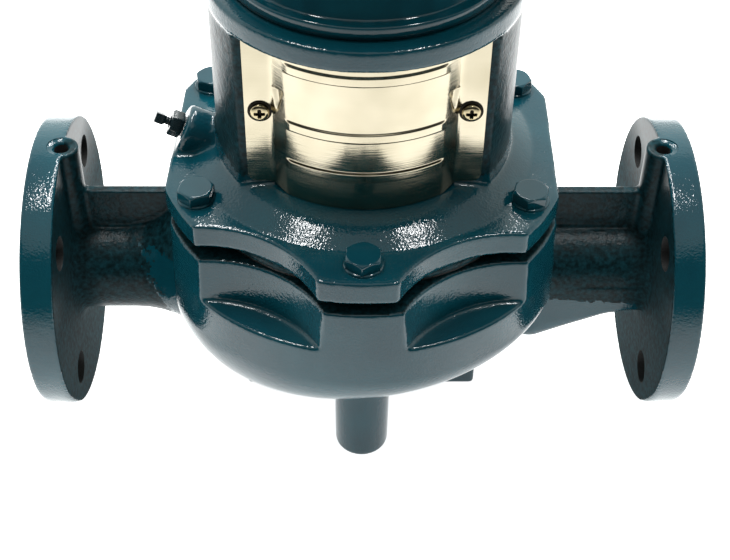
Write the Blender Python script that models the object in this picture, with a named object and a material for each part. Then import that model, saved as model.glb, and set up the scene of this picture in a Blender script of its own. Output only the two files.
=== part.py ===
"""Vertical in-line circulation pump with flanged ports, lantern, coupling guards and a flange motor.

The frame is metres with +Z up. The origin is on the pump's vertical axis at the bottom of its feet.
The suction port points to -X and the discharge port to +X. The heights below are counted from the centre
line of the two ports, and the last step lifts the whole pump onto its feet.
"""
import math

import bmesh
import bpy
from mathutils import Matrix, Vector

# Ports
PORT_FACE_X = 0.180
RAISED_FACE_HEIGHT = 0.0012
RAISED_FACE_RADIUS = 0.051
FLANGE_RADIUS = 0.0825
FLANGE_THICKNESS = 0.0172
FLANGE_HOLE_CIRCLE_RADIUS = 0.0625
FLANGE_HOLE_RADIUS = 0.0095
NECK_RADIUS = 0.028
BORE_RADIUS = 0.022
BORE_MOUTH_RADIUS = 0.025
BORE_MOUTH_DEPTH = 0.018
GAUGE_BOSS_X = 0.163
GAUGE_BOSS_RADIUS = 0.0095
GAUGE_HOLE_RADIUS = 0.0035
GAUGE_HOLE_DEPTH = 0.030
RIB_THICKNESS = 0.006
RIB_TOP_Z = 0.0528
RIB_BOTTOM_Z = 0.020
RIB_START_X = 0.080
RIB_END_X = 0.170
NECK_START_X = 0.060

# Casing
DRUM_RADIUS = 0.1130
DRUM_HALF_WIDTH = 0.1010
DRUM_BOTTOM_Z = 0.018
LEDGE_Z = 0.040
LEDGE_DEPTH = 0.006
CASING_TOP_Z = 0.066
SCALLOP_DRAFT = 0.0027
BOWL_DEPTH = 0.0595
BOWL_TILT = 0.258
BOWL_SWELL = 1.06
BOWL_FULLNESS = 1.92
CHAMBER_RADIUS = 0.086
CHAMBER_MOUTH_RADIUS = 0.072
CHAMBER_FLOOR_Z = 0.026
CHAMBER_ROOF_Z = 0.056
DISCHARGE_PASSAGE_X = 0.070
DISCHARGE_PASSAGE_RADIUS = 0.015
SUCTION_FLARE = ((0.127, 0.0265, 0.0), (0.122, 0.0285, 0.0007), (0.114, 0.0310, 0.0020),
                 (0.108, 0.0345, 0.0042), (0.102, 0.0380, 0.0055), (0.094, 0.0400, 0.0060),
                 (0.086, 0.0400, 0.0060))
DISCHARGE_FAIRING = ((0.165, 0.0278, -0.0180), (0.151, 0.0278, -0.0185), (0.139, 0.0278, -0.0215),
                     (0.124, 0.0278, -0.0290), (0.100, 0.0270, -0.0420), (0.080, 0.0200, -0.0470),
                     (0.056, 0.0110, -0.0440))
FAIRING_CORNER = 0.006
FEET_BOTTOM_Z = -0.090
ROUND_FOOT_Y = 0.0575
ROUND_FOOT_RADIUS = 0.0152
SQUARE_FOOT_X = 0.0535
SQUARE_FOOT_SIZE = 0.032

# Scalloped outline shared by the casing flange and the cover
OUTLINE_RADIUS = 0.1113
OUTLINE_OVAL = 0.0014
OUTLINE_HALF_WIDTH = 0.1015
SCALLOP_DISTANCE = 0.160
SCALLOP_RADIUS = 0.0655
SCALLOP_ANGLES = (60.55, 119.45, 240.55, 299.45)
OUTLINE_STEP_DEGREES = 5.0

# Cover and lantern
GASKET_THICKNESS = 0.0014
REGISTER_RADIUS = 0.0935
COVER_BOTTOM_Z = 0.0733
COVER_TOP_Z = 0.0870
CONE_OUTER_RADIUS = 0.091
CONE_INNER_RADIUS = 0.075
LANTERN_FLOOR_Z = 0.0950
LANTERN_OUTER_RADIUS = 0.0778
LANTERN_INNER_RADIUS = 0.0625
COLUMN_FACE_Y = 0.0466
TOP_FLANGE_BOTTOM_Z = 0.1842
TOP_FLANGE_TOP_Z = 0.1960
TOP_FLANGE_RADIUS = 0.0792
TOP_FLANGE_BORE = 0.0550
SEAL_HUB_RADIUS = 0.034
SEAL_HUB_TOP_Z = 0.118
SEAL_HUB_BORE = 0.0130
COVER_OUTLINE_TURN = -1.9
BOLT_CIRCLE_RADIUS = 0.0983
BOLT_ANGLES = (269.4, 209.4, 149.4, 89.4, 29.4, 329.4)
BOLT_HEAD_TURNS = (25, 18, 40, 5, 50, 15)
BOLT_HEAD_ACROSS_FLATS = 0.017
BOLT_HEAD_HEIGHT = 0.0066
BOLT_RADIUS = 0.0048
BOLT_BOTTOM_Z = 0.044
SPOT_FACE_RADIUS = 0.0115

# Shaft train
SHAFT_RADIUS = 0.011
SHAFT_BOTTOM_Z = 0.034
SHAFT_SPLIT_Z = 0.156
IMPELLER_RADIUS = 0.068
IMPELLER_HUB_RADIUS = 0.020
COUPLING_RADIUS = 0.028
COUPLING_BOTTOM_Z = 0.136
COUPLING_TOP_Z = 0.178

# Guards
GUARD_THICKNESS = 0.0010
GUARD_BOTTOM_Z = 0.0954
GUARD_STRIP_BOTTOM_Z = 0.0978
GUARD_TOP_Z = 0.1836
GUARD_STRIP_OUTER_X = 0.0587
GUARD_STRIP_INNER_X = 0.0455
GUARD_BAND_RADIUS = 0.0674
GUARD_BAND_HALF_ANGLE = 35.0
GUARD_BEADS_Z = (0.1720, 0.1392, 0.1156)
GUARD_BEAD_HEIGHT = 0.0070
GUARD_BEAD_RISE = 0.0015
GUARD_SCREW_X = 0.0512
GUARD_SCREW_Z = 0.1415
GUARD_SCREW_WASHER_RADIUS = 0.0055
GUARD_SCREW_HEAD_RADIUS = 0.0048
GUARD_SCREW_SHANK_RADIUS = 0.0024

# Air vent on the lantern's left column
VENT_BOSS_RADIUS = 0.0128
VENT_BOSS_LENGTH = 0.024
VENT_BOSS_ROOT = 0.001
VENT_TILT_DEGREES = 25.0
VENT_SEAT_X = -0.0962
VENT_SEAT_Z = 0.0958
VENT_THREAD_RADIUS = 0.0053
VENT_THREAD_LENGTH = 0.010
VENT_HEX_ACROSS_FLATS = 0.0125
VENT_HEX_LENGTH = 0.0072
VENT_STEM_RADIUS = 0.0022
VENT_STEM_START = 0.0023
VENT_HEAD_START = 0.0106
VENT_HEAD_LENGTH = 0.0050
VENT_HEAD_SIZE = 0.0055
VENT_HEAD_TURN = 26.0

# Motor
MOTOR_FLANGE_RADIUS = 0.0710
MOTOR_FLANGE_TOP_Z = 0.2040
MOTOR_WAIST_RADIUS = 0.0600
MOTOR_WAIST_Z = 0.2160
SHIELD_TOP_Z = 0.2320
FRAME_RADIUS = 0.0610
FIN_TIP_RADIUS = 0.0710
FIN_COUNT = 28
FIN_THICKNESS = 0.0030
FRAME_TOP_Z = 0.3540
REAR_SHIELD_TOP_Z = 0.3680
COWL_RADIUS = 0.0730
COWL_WALL = 0.0016
COWL_BOTTOM_Z = 0.3580
COWL_TOP_Z = 0.4200
COWL_SLOT_COUNT = 12
FAN_RADIUS = 0.0600
FAN_BLADES = 7
FAN_SHAFT_RADIUS = 0.0070
BOX_HALF_WIDTH = 0.0480
BOX_BACK_Y = -0.0585
BOX_FRONT_Y = -0.1060
LID_FRONT_Y = -0.1200
BOX_BOTTOM_Z = 0.2620
BOX_TOP_Z = 0.3380
GLAND_RADIUS = 0.0105
GLAND_LENGTH = 0.020
GLAND_SPREAD = 0.020
LID_SCREW_INSET = 0.007

GAP = 0.0003
CLEARANCE = 0.01
SLIVER = 0.00002

PAINT = ("teal_paint", (0.012, 0.075, 0.105), 0.28, 0.0)
DARK_PAINT = ("dark_fitting", (0.02, 0.03, 0.035), 0.35, 0.0)
STAINLESS = ("stainless", (0.80, 0.76, 0.66), 0.18, 1.0)
STEEL = ("machined_steel", (0.55, 0.55, 0.55), 0.35, 1.0)
RUBBER = ("gasket_rubber", (0.03, 0.03, 0.03), 0.8, 0.0)
POLYMER = ("black_polymer", (0.02, 0.02, 0.02), 0.5, 0.0)


def clear_scene():
    """Removes every object that the file started with."""
    for item in list(bpy.data.objects):
        bpy.data.objects.remove(item, do_unlink=True)


def material(spec):
    """Returns the Principled material of a (name, colour, roughness, metallic) finish."""
    name, colour, roughness, metallic = spec
    found = bpy.data.materials.get(name)
    if found:
        return found
    made = bpy.data.materials.new(name)
    made.use_nodes = True
    shader = made.node_tree.nodes["Principled BSDF"]
    shader.inputs["Base Color"].default_value = (*colour, 1.0)
    shader.inputs["Roughness"].default_value = roughness
    shader.inputs["Metallic"].default_value = metallic
    return made


def add_object(name, shape, finish=PAINT):
    """Makes an object of a bmesh, with its faces pointing out and one material."""
    bmesh.ops.remove_doubles(shape, verts=shape.verts, dist=1e-7)
    bmesh.ops.recalc_face_normals(shape, faces=shape.faces)
    mesh = bpy.data.meshes.new(name)
    shape.to_mesh(mesh)
    shape.free()
    mesh.materials.append(material(finish))
    item = bpy.data.objects.new(name, mesh)
    bpy.context.scene.collection.objects.link(item)
    mesh.shade_smooth()
    mesh.set_sharp_from_angle(angle=math.radians(35))
    return item


def close_slivers(mesh):
    """Merges the corners of faces that a Boolean left narrower than the merging distance."""
    shape = bmesh.new()
    shape.from_mesh(mesh)
    bmesh.ops.remove_doubles(shape, verts=shape.verts, dist=SLIVER)
    bmesh.ops.dissolve_degenerate(shape, dist=SLIVER, edges=shape.edges)
    shape.to_mesh(mesh)
    shape.free()


def apply_boolean(base, tool, operation):
    """Applies one exact Boolean to the base and removes the tool."""
    modifier = base.modifiers.new("shape", "BOOLEAN")
    modifier.operation = operation
    modifier.solver = "EXACT"
    modifier.object = tool
    graph = bpy.context.evaluated_depsgraph_get()
    result = bpy.data.meshes.new_from_object(base.evaluated_get(graph))
    base.modifiers.clear()
    base.data = result
    bpy.data.objects.remove(tool, do_unlink=True)
    close_slivers(result)


def join(base, *tools):
    """Fuses the tools into the base as one closed body."""
    for tool in tools:
        apply_boolean(base, tool, "UNION")
    return base


def cut(base, *tools):
    """Takes the tools' space out of the base."""
    for tool in tools:
        apply_boolean(base, tool, "DIFFERENCE")
    return base


def prism(name, outline, low, high, finish=PAINT, frame=Matrix.Identity(4)):
    """Extrudes a flat outline from low to high along the frame's Z."""
    shape = bmesh.new()
    floor = [shape.verts.new(frame @ Vector((x, y, low))) for x, y in outline]
    roof = [shape.verts.new(frame @ Vector((x, y, high))) for x, y in outline]
    shape.faces.new(floor)
    shape.faces.new(roof)
    for index in range(len(outline)):
        after = (index + 1) % len(outline)
        shape.faces.new((floor[index], floor[after], roof[after], roof[index]))
    return add_object(name, shape, finish)


def turned(name, profile, segments=48, finish=PAINT, frame=Matrix.Identity(4)):
    """Turns a closed (radius, height) profile about the frame's Z."""
    shape = bmesh.new()
    rings = []
    for radius, height in profile:
        if radius < 1e-9:
            rings.append([shape.verts.new(frame @ Vector((0, 0, height)))])
            continue
        ring = []
        for step in range(segments):
            angle = math.tau * step / segments
            place = Vector((radius * math.cos(angle), radius * math.sin(angle), height))
            ring.append(shape.verts.new(frame @ place))
        rings.append(ring)
    for index, ring in enumerate(rings):
        following = rings[(index + 1) % len(rings)]
        if len(ring) == 1 and len(following) == 1:
            continue
        for step in range(segments):
            after = (step + 1) % segments
            if len(ring) == 1:
                shape.faces.new((ring[0], following[step], following[after]))
            elif len(following) == 1:
                shape.faces.new((ring[step], ring[after], following[0]))
            else:
                shape.faces.new((ring[step], ring[after], following[after], following[step]))
    return add_object(name, shape, finish)


def cylinder(name, radius, low, high, segments=48, finish=PAINT, frame=Matrix.Identity(4)):
    """A plain cylinder from low to high along the frame's Z."""
    return turned(name, [(0, low), (radius, low), (radius, high), (0, high)], segments, finish, frame)


def ring(name, inner, outer, low, high, segments=48, finish=PAINT, frame=Matrix.Identity(4)):
    """A plain ring from low to high along the frame's Z."""
    return turned(name, [(inner, low), (outer, low), (outer, high), (inner, high)], segments, finish, frame)


def block(name, low, high, finish=PAINT):
    """A box between its lowest and its highest corner."""
    outline = [(low[0], low[1]), (high[0], low[1]), (high[0], high[1]), (low[0], high[1])]
    return prism(name, outline, low[2], high[2], finish)


def towards(direction, origin=(0, 0, 0)):
    """The frame whose Z points in a direction from an origin."""
    turn = Vector(direction).to_track_quat("Z", "Y").to_matrix().to_4x4()
    return Matrix.Translation(Vector(origin)) @ turn


def side_frame(sign):
    """The frame whose Z runs out along +X or -X, with its X axis pointing to world +Z."""
    columns = Matrix(((0, 0, sign), (0, sign, 0), (1, 0, 0))).to_4x4()
    if columns.determinant() < 0:
        columns = Matrix(((0, 0, sign), (0, -sign, 0), (1, 0, 0))).to_4x4()
    return columns


def polar(radius, degrees):
    """A point on a circle about the pump's axis."""
    angle = math.radians(degrees)
    return radius * math.cos(angle), radius * math.sin(angle)


def between_flats(radius, half_width, degrees):
    """The reach of a circle that is cut flat at both sides, in one direction."""
    away = abs(math.cos(math.radians(degrees)))
    return min(radius, half_width / max(away, 1e-6))


def outline_radius(degrees, widened=0.0):
    """The scalloped outline's distance from the axis in one direction.

    It is the smallest of a slightly oval rim, the two straight sides and the four scallops.
    """
    oval = OUTLINE_RADIUS - OUTLINE_OVAL * math.cos(2 * math.radians(degrees))
    reach = between_flats(oval, OUTLINE_HALF_WIDTH, degrees)
    for centre in SCALLOP_ANGLES:
        off = math.radians(degrees - centre)
        across = SCALLOP_DISTANCE * math.sin(off)
        if math.cos(off) > 0 and abs(across) < SCALLOP_RADIUS:
            near = SCALLOP_DISTANCE * math.cos(off) - math.sqrt(SCALLOP_RADIUS ** 2 - across ** 2)
            reach = min(reach, near + widened)
    return reach


def scalloped_outline(turn=0.0, widened=0.0):
    """The bolting outline as points in even steps of angle, turned about the pump's axis."""
    count = round(360 / OUTLINE_STEP_DEGREES)
    angles = [step * 360 / count for step in range(count)]
    return [polar(outline_radius(angle, widened), angle + turn) for angle in angles]


def casing_lobes():
    """The casing's bolting flange, whose scallops lean out towards the ledge."""
    foot = scalloped_outline(widened=SCALLOP_DRAFT)
    levels = ((foot, LEDGE_Z - LEDGE_DEPTH), (foot, LEDGE_Z), (scalloped_outline(), CASING_TOP_Z))
    return loft("lobes", [[(x, y, height) for x, y in outline] for outline, height in levels])


def port_flange(sign):
    """One port flange with its raised face, turned about the port's centre line."""
    rim = PORT_FACE_X - RAISED_FACE_HEIGHT
    back = rim - FLANGE_THICKNESS
    profile = [
        (0, back), (FLANGE_RADIUS - 0.001, back), (FLANGE_RADIUS, back + 0.001), (FLANGE_RADIUS, rim - 0.001),
        (FLANGE_RADIUS - 0.001, rim), (RAISED_FACE_RADIUS, rim), (RAISED_FACE_RADIUS, PORT_FACE_X),
        (0, PORT_FACE_X),
    ]
    return turned("flange", profile, 48, PAINT, side_frame(sign))


def bowl_depth(x, share):
    """How far the bowl hangs below the drum, at an x and at a share of the drum's radius.

    The middle depth grows towards the suction side, and falls to nothing at the drum's wall as an oval does.
    """
    middle = BOWL_DEPTH - BOWL_TILT * x + BOWL_SWELL * x ** 2
    return middle * (1 - share ** BOWL_FULLNESS) ** (1 / BOWL_FULLNESS)


def drum_and_bowl():
    """The body under the ledge: a drum with two flat sides over a bowl, deepest at the suction side."""
    segments = 72
    shape = bmesh.new()
    levels = [(1.0, LEDGE_Z)] + [(math.cos(math.pi / 2 * step / 6), None) for step in range(6)]
    rings = []
    for share, height in levels:
        ring = []
        for step in range(segments):
            degrees = 360 * step / segments
            x, y = polar(between_flats(DRUM_RADIUS, DRUM_HALF_WIDTH, degrees) * share, degrees)
            z = height if height is not None else DRUM_BOTTOM_Z - bowl_depth(x, share)
            ring.append(shape.verts.new((x, y, z)))
        rings.append(ring)
    pole = shape.verts.new((0, 0, DRUM_BOTTOM_Z - bowl_depth(0, 0)))
    shape.faces.new(rings[0])
    for near, far in zip(rings, rings[1:]):
        for step in range(segments):
            after = (step + 1) % segments
            shape.faces.new((near[step], near[after], far[after], far[step]))
    for step in range(segments):
        shape.faces.new((rings[-1][step], rings[-1][(step + 1) % segments], pole))
    return add_object("pump_casing", shape)


def loft(name, sections):
    """Joins sections with the same number of points, end to end, and closes both ends."""
    shape = bmesh.new()
    rows = [[shape.verts.new(point) for point in section] for section in sections]
    for near, far in zip(rows, rows[1:]):
        for step in range(len(near)):
            after = (step + 1) % len(near)
            shape.faces.new((near[step], near[after], far[after], far[step]))
    shape.faces.new(rows[0])
    shape.faces.new(rows[-1])
    return add_object(name, shape)


def suction_flare():
    """The widening of the suction neck into the drum and the bowl."""
    sections = []
    for x, radius, lift in SUCTION_FLARE:
        circle = [polar(radius, 15 * step) for step in range(24)]
        sections.append([(-x, across, up + lift) for across, up in circle])
    return loft("flare", sections)


def upright_plate(name, outline, thickness):
    """A plate in the XZ plane: its outline is (x, z) and it is centred on Y = 0."""
    frame = Matrix(((1, 0, 0, 0), (0, 0, -1, 0), (0, 1, 0, 0), (0, 0, 0, 1)))
    return prism(name, outline, -thickness / 2, thickness / 2, PAINT, frame)


def top_rib(sign):
    """The rib along the top of one neck, from the casing flange to the port flange."""
    near, far = sign * RIB_START_X, sign * RIB_END_X
    outline = [(near, RIB_BOTTOM_Z), (far, RIB_BOTTOM_Z), (far, RIB_TOP_Z), (near, RIB_TOP_Z)]
    return upright_plate("rib", outline, RIB_THICKNESS)


def gauge_boss(sign):
    """The half-round boss that carries the gauge port, flush with the flange's rim at its top."""
    return cylinder("boss", GAUGE_BOSS_RADIUS, 0.0, FLANGE_RADIUS - 0.0014, 24, PAINT,
                    Matrix.Translation((sign * GAUGE_BOSS_X, 0, 0)))


def discharge_fairing():
    """The straight-sided lower half of the discharge neck, deepest where it meets the foot."""
    sections = []
    for x, half_width, bottom in DISCHARGE_FAIRING:
        half = [(half_width, 0.002), (half_width, bottom + FAIRING_CORNER),
                (half_width - 0.3 * FAIRING_CORNER, bottom + 0.3 * FAIRING_CORNER),
                (half_width - FAIRING_CORNER, bottom)]
        sections.append([(x, y, z) for y, z in half] + [(x, -y, z) for y, z in reversed(half)])
    return loft("fairing", sections)


def round_foot(sign):
    """A tapered round foot under the front or the back of the bowl."""
    profile = [
        (0, FEET_BOTTOM_Z), (ROUND_FOOT_RADIUS - 0.0008, FEET_BOTTOM_Z),
        (ROUND_FOOT_RADIUS, FEET_BOTTOM_Z + 0.0008), (ROUND_FOOT_RADIUS + 0.001, 0.0), (0, 0.0),
    ]
    return turned("foot", profile, 24, PAINT, Matrix.Translation((0, sign * ROUND_FOOT_Y, 0)))


def square_foot(sign):
    """A square foot under one side of the bowl."""
    half = SQUARE_FOOT_SIZE / 2
    corner = 0.005
    outline = []
    for turn in range(4):
        middle = math.radians(45 + 90 * turn)
        centre = Vector((math.copysign(half - corner, math.cos(middle)),
                         math.copysign(half - corner, math.sin(middle))))
        for part in (-45, 0, 45):
            angle = middle + math.radians(part)
            outline.append((sign * SQUARE_FOOT_X + centre.x + corner * math.cos(angle),
                            centre.y + corner * math.sin(angle)))
    return prism("foot", outline, FEET_BOTTOM_Z, 0.0)


def port_passages():
    """The bores of both ports, the eye under the impeller, the chamber and the discharge passage."""
    tools = []
    for sign, inner in ((-1, 0.0), (1, DISCHARGE_PASSAGE_X - 0.008)):
        outside = PORT_FACE_X + CLEARANCE
        mouth = [
            (0, inner), (BORE_RADIUS, inner), (BORE_RADIUS, PORT_FACE_X - BORE_MOUTH_DEPTH),
            (BORE_MOUTH_RADIUS, PORT_FACE_X), (BORE_MOUTH_RADIUS, outside), (0, outside),
        ]
        tools.append(turned("bore", mouth, 24, PAINT, side_frame(sign)))
    tools.append(cylinder("eye", BORE_RADIUS + 0.0007, -0.016, CHAMBER_FLOOR_Z + 0.004, 24))
    tools.append(cylinder("rise", DISCHARGE_PASSAGE_RADIUS, 0.0, CHAMBER_FLOOR_Z + 0.004, 16, PAINT,
                          Matrix.Translation((DISCHARGE_PASSAGE_X, 0, 0))))
    chamber = [
        (0, CHAMBER_FLOOR_Z), (CHAMBER_RADIUS, CHAMBER_FLOOR_Z), (CHAMBER_RADIUS, CHAMBER_ROOF_Z),
        (CHAMBER_MOUTH_RADIUS, CHAMBER_ROOF_Z), (CHAMBER_MOUTH_RADIUS, CASING_TOP_Z + CLEARANCE),
        (0, CASING_TOP_Z + CLEARANCE),
    ]
    tools.append(turned("chamber", chamber, 40))
    return tools


def flange_holes():
    """The bolt holes of both port flanges and the gauge ports in their rims."""
    tools = []
    for sign in (-1, 1):
        for angle in (45, 135, 225, 315):
            across, up = polar(FLANGE_HOLE_CIRCLE_RADIUS, angle)
            frame = Matrix.Translation((0, across, up)) @ side_frame(sign)
            low, high = PORT_FACE_X - 0.030, PORT_FACE_X + CLEARANCE
            tools.append(cylinder("hole", FLANGE_HOLE_RADIUS, low, high, 16, PAINT, frame))
        frame = Matrix.Translation((sign * GAUGE_BOSS_X, 0, 0))
        tools.append(cylinder("gauge", GAUGE_HOLE_RADIUS, FLANGE_RADIUS - GAUGE_HOLE_DEPTH,
                              FLANGE_RADIUS + CLEARANCE, 12, PAINT, frame))
    return tools


def bolt_holes(radius, low, high):
    """A hole for each cover bolt."""
    tools = []
    for angle in BOLT_ANGLES:
        frame = Matrix.Translation((*polar(BOLT_CIRCLE_RADIUS, angle), 0))
        tools.append(cylinder("hole", radius, low, high, 12, PAINT, frame))
    return tools


def make_casing():
    """The pump casing: one casting with necks, port flanges, ribs and feet."""
    casing = drum_and_bowl()
    join(casing, casing_lobes(), suction_flare(), discharge_fairing())
    for sign in (-1, 1):
        join(casing, cylinder("neck", NECK_RADIUS, NECK_START_X, RIB_END_X, 32, PAINT, side_frame(sign)))
        join(casing, port_flange(sign), gauge_boss(sign), top_rib(sign))
        join(casing, round_foot(sign), square_foot(sign))
    cut(casing, *port_passages())
    cut(casing, *flange_holes())
    cut(casing, *bolt_holes(BOLT_RADIUS + GAP, BOLT_BOTTOM_Z - GAP, CASING_TOP_Z + CLEARANCE))
    return casing


def lantern_columns():
    """The lantern's wall, cut flat at the front and the back so that two columns are left."""
    foot, top = LANTERN_FLOOR_Z - 0.006, TOP_FLANGE_BOTTOM_Z + 0.004
    wall = ring("columns", LANTERN_INNER_RADIUS, LANTERN_OUTER_RADIUS, foot, top, 56)
    for sign in (-1, 1):
        low, high = sorted((sign * COLUMN_FACE_Y, sign * 0.1))
        cut(wall, block("front", (-0.1, low, foot - 0.01), (0.1, high, top + 0.01)))
    return wall


def vent_boss():
    """The boss on the left column that carries the air vent: an arch with straight walls down to the plate."""
    foot = (COVER_TOP_Z - VENT_BOSS_ROOT - VENT_SEAT_Z) / math.cos(math.radians(VENT_TILT_DEGREES))
    arch = [polar(VENT_BOSS_RADIUS, 15 * step) for step in range(13)]
    outline = [(VENT_BOSS_RADIUS, foot), *arch, (-VENT_BOSS_RADIUS, foot)]
    return prism("vent_boss", outline, -VENT_BOSS_LENGTH, 0.0, PAINT, vent_frame())


def make_lantern_cover():
    """The cover plate, the lantern and its top flange, which are one casting."""
    cover = prism("lantern_cover", scalloped_outline(COVER_OUTLINE_TURN), COVER_BOTTOM_Z, COVER_TOP_Z)
    register_z = CASING_TOP_Z + GASKET_THICKNESS + 2 * GAP
    floor = [
        (0, register_z), (REGISTER_RADIUS, register_z), (REGISTER_RADIUS, COVER_TOP_Z - 0.002),
        (CONE_OUTER_RADIUS, COVER_TOP_Z), (CONE_INNER_RADIUS, LANTERN_FLOOR_Z),
        (SEAL_HUB_RADIUS, LANTERN_FLOOR_Z), (SEAL_HUB_RADIUS, SEAL_HUB_TOP_Z), (0, SEAL_HUB_TOP_Z),
    ]
    join(cover, turned("floor", floor, 56), vent_boss(), lantern_columns())
    join(cover, ring("top_flange", TOP_FLANGE_BORE, TOP_FLANGE_RADIUS, TOP_FLANGE_BOTTOM_Z,
                     TOP_FLANGE_TOP_Z, 56))
    cut(cover, cylinder("shaft_way", SEAL_HUB_BORE, 0.05, 0.13, 20))
    cut(cover, *bolt_holes(BOLT_RADIUS + 0.0007, CASING_TOP_Z, COVER_TOP_Z + CLEARANCE))
    cut(cover, *bolt_holes(SPOT_FACE_RADIUS, COVER_TOP_Z, COVER_TOP_Z + CLEARANCE))
    for screw in guard_screw_places():
        frame = towards((0, screw[1], 0), (screw[0], 0, GUARD_SCREW_Z))
        cut(cover, cylinder("hole", GUARD_SCREW_SHANK_RADIUS + GAP, 0.036, 0.060, 12, PAINT, frame))
    cut(cover, vent_cylinder("way", VENT_THREAD_RADIUS + GAP, -VENT_THREAD_LENGTH - 0.002, CLEARANCE))
    return cover


def hexagon(across_flats, turn=0.0):
    """The corners of a hexagon."""
    reach = across_flats / 2 / math.cos(math.pi / 6)
    return [polar(reach, turn + 60 * step) for step in range(6)]


def make_cover_bolts():
    """Six hexagon bolts that hold the cover to the casing."""
    seat = COVER_TOP_Z + GAP
    for number, (angle, turn) in enumerate(zip(BOLT_ANGLES, BOLT_HEAD_TURNS), 1):
        frame = Matrix.Translation((*polar(BOLT_CIRCLE_RADIUS, angle), 0))
        bolt = prism(f"cover_bolt_{number}", hexagon(BOLT_HEAD_ACROSS_FLATS, turn), seat,
                     seat + BOLT_HEAD_HEIGHT, PAINT, frame)
        join(bolt, cylinder("shank", BOLT_RADIUS, BOLT_BOTTOM_Z, seat + 0.002, 16, PAINT, frame))


def make_shaft_train():
    """The gasket, impeller, seal, shafts and coupling inside the casing and the lantern."""
    ring("cover_gasket", CHAMBER_MOUTH_RADIUS, REGISTER_RADIUS - 0.001, CASING_TOP_Z + GAP,
         CASING_TOP_Z + GAP + GASKET_THICKNESS, 48, RUBBER)
    bore = SHAFT_RADIUS + GAP
    impeller = [
        (bore, 0.034), (0.021, 0.030), (0.030, 0.030), (0.034, 0.034), (IMPELLER_RADIUS, 0.038),
        (IMPELLER_RADIUS, 0.050), (IMPELLER_HUB_RADIUS, 0.053), (IMPELLER_HUB_RADIUS, 0.058), (bore, 0.058),
    ]
    turned("impeller", impeller, 32, STEEL)
    cylinder("pump_shaft", SHAFT_RADIUS, SHAFT_BOTTOM_Z, SHAFT_SPLIT_Z, 24, STEEL)
    ring("shaft_seal", bore, 0.022, SEAL_HUB_TOP_Z + GAP, 0.130, 32, STEEL)
    coupling = [
        (bore, COUPLING_BOTTOM_Z), (COUPLING_RADIUS, COUPLING_BOTTOM_Z), (COUPLING_RADIUS, 0.153),
        (COUPLING_RADIUS - 0.002, 0.155), (COUPLING_RADIUS - 0.002, 0.159), (COUPLING_RADIUS, 0.161),
        (COUPLING_RADIUS, COUPLING_TOP_Z), (bore, COUPLING_TOP_Z),
    ]
    turned("shaft_coupling", coupling, 24, STEEL)
    cylinder("motor_shaft", SHAFT_RADIUS, SHAFT_SPLIT_Z + GAP, SHIELD_TOP_Z, 24, STEEL)


def guard_path(bead_rise):
    """The middle line of a front guard seen from above, with its band pushed out by a bead."""
    face = COLUMN_FACE_Y + GAP + GUARD_THICKNESS / 2
    radius = GUARD_BAND_RADIUS - GUARD_THICKNESS / 2 + bead_rise
    count = 10
    band = []
    for step in range(count + 1):
        angle = 270 - GUARD_BAND_HALF_ANGLE + 2 * GUARD_BAND_HALF_ANGLE * step / count
        band.append(polar(radius, angle))
    left = [(-GUARD_STRIP_OUTER_X, -face), (-GUARD_STRIP_INNER_X, -face)]
    right = [(GUARD_STRIP_INNER_X, -face), (GUARD_STRIP_OUTER_X, -face)]
    return left + band + right


def offset_path(path, distance):
    """Moves an open path sideways, each point along the mean normal of its two stretches."""
    moved = []
    for index, point in enumerate(path):
        before = Vector(path[max(index - 1, 0)])
        after = Vector(path[min(index + 1, len(path) - 1)])
        here = Vector(point)
        normals = []
        for start, end in ((before, here), (here, after)):
            run = end - start
            if run.length > 1e-9:
                normals.append(Vector((run.y, -run.x)).normalized())
        mean = sum(normals, Vector((0, 0))) / len(normals)
        moved.append(here + mean * distance / mean.length_squared)
    return moved


def guard_rows():
    """The heights of the guard's rows and how far the band stands out at each."""
    rows = [(GUARD_TOP_Z, 0.0)]
    for bead in GUARD_BEADS_Z:
        half = GUARD_BEAD_HEIGHT / 2
        rows += [(bead + half, 0.0), (bead + half / 3, GUARD_BEAD_RISE), (bead - half / 3, GUARD_BEAD_RISE),
                 (bead - half, 0.0)]
    rows.append((GUARD_BOTTOM_Z, 0.0))
    return rows


def guard_height(point, height):
    """The strips of a guard end a little higher than its band."""
    return max(height, GUARD_STRIP_BOTTOM_Z) if abs(point.x) > GUARD_STRIP_INNER_X - GAP else height


def make_guard(name, sign):
    """One pressed guard: two flat side strips, two webs and a beaded half-round band."""
    shape = bmesh.new()
    sheets = []
    for side in (0.5, -0.5):
        rows = []
        for height, rise in guard_rows():
            path = offset_path(guard_path(rise), side * GUARD_THICKNESS)
            rows.append([shape.verts.new((point.x, -sign * point.y, guard_height(point, height)))
                         for point in path])
        sheets.append(rows)
    for rows in sheets:
        for upper, lower in zip(rows, rows[1:]):
            for step in range(len(upper) - 1):
                shape.faces.new((upper[step], upper[step + 1], lower[step + 1], lower[step]))
    outer, inner = sheets
    for row in (0, -1):
        for step in range(len(outer[0]) - 1):
            shape.faces.new((outer[row][step], outer[row][step + 1], inner[row][step + 1], inner[row][step]))
    for end in (0, -1):
        for row in range(len(outer) - 1):
            shape.faces.new((outer[row][end], outer[row + 1][end], inner[row + 1][end], inner[row][end]))
    guard = add_object(name, shape, STAINLESS)
    for x, side in guard_screw_places():
        if side == sign:
            frame = towards((0, side, 0), (x, 0, GUARD_SCREW_Z))
            cut(guard, cylinder("hole", GUARD_SCREW_SHANK_RADIUS + GAP, 0.04, 0.06, 12, PAINT, frame))
    return guard


def guard_screw_places():
    """Where the guard screws go: (x, -1) at the front and (x, 1) at the back."""
    return [(x, side) for side in (-1, 1) for x in (-GUARD_SCREW_X, GUARD_SCREW_X)]


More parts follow.
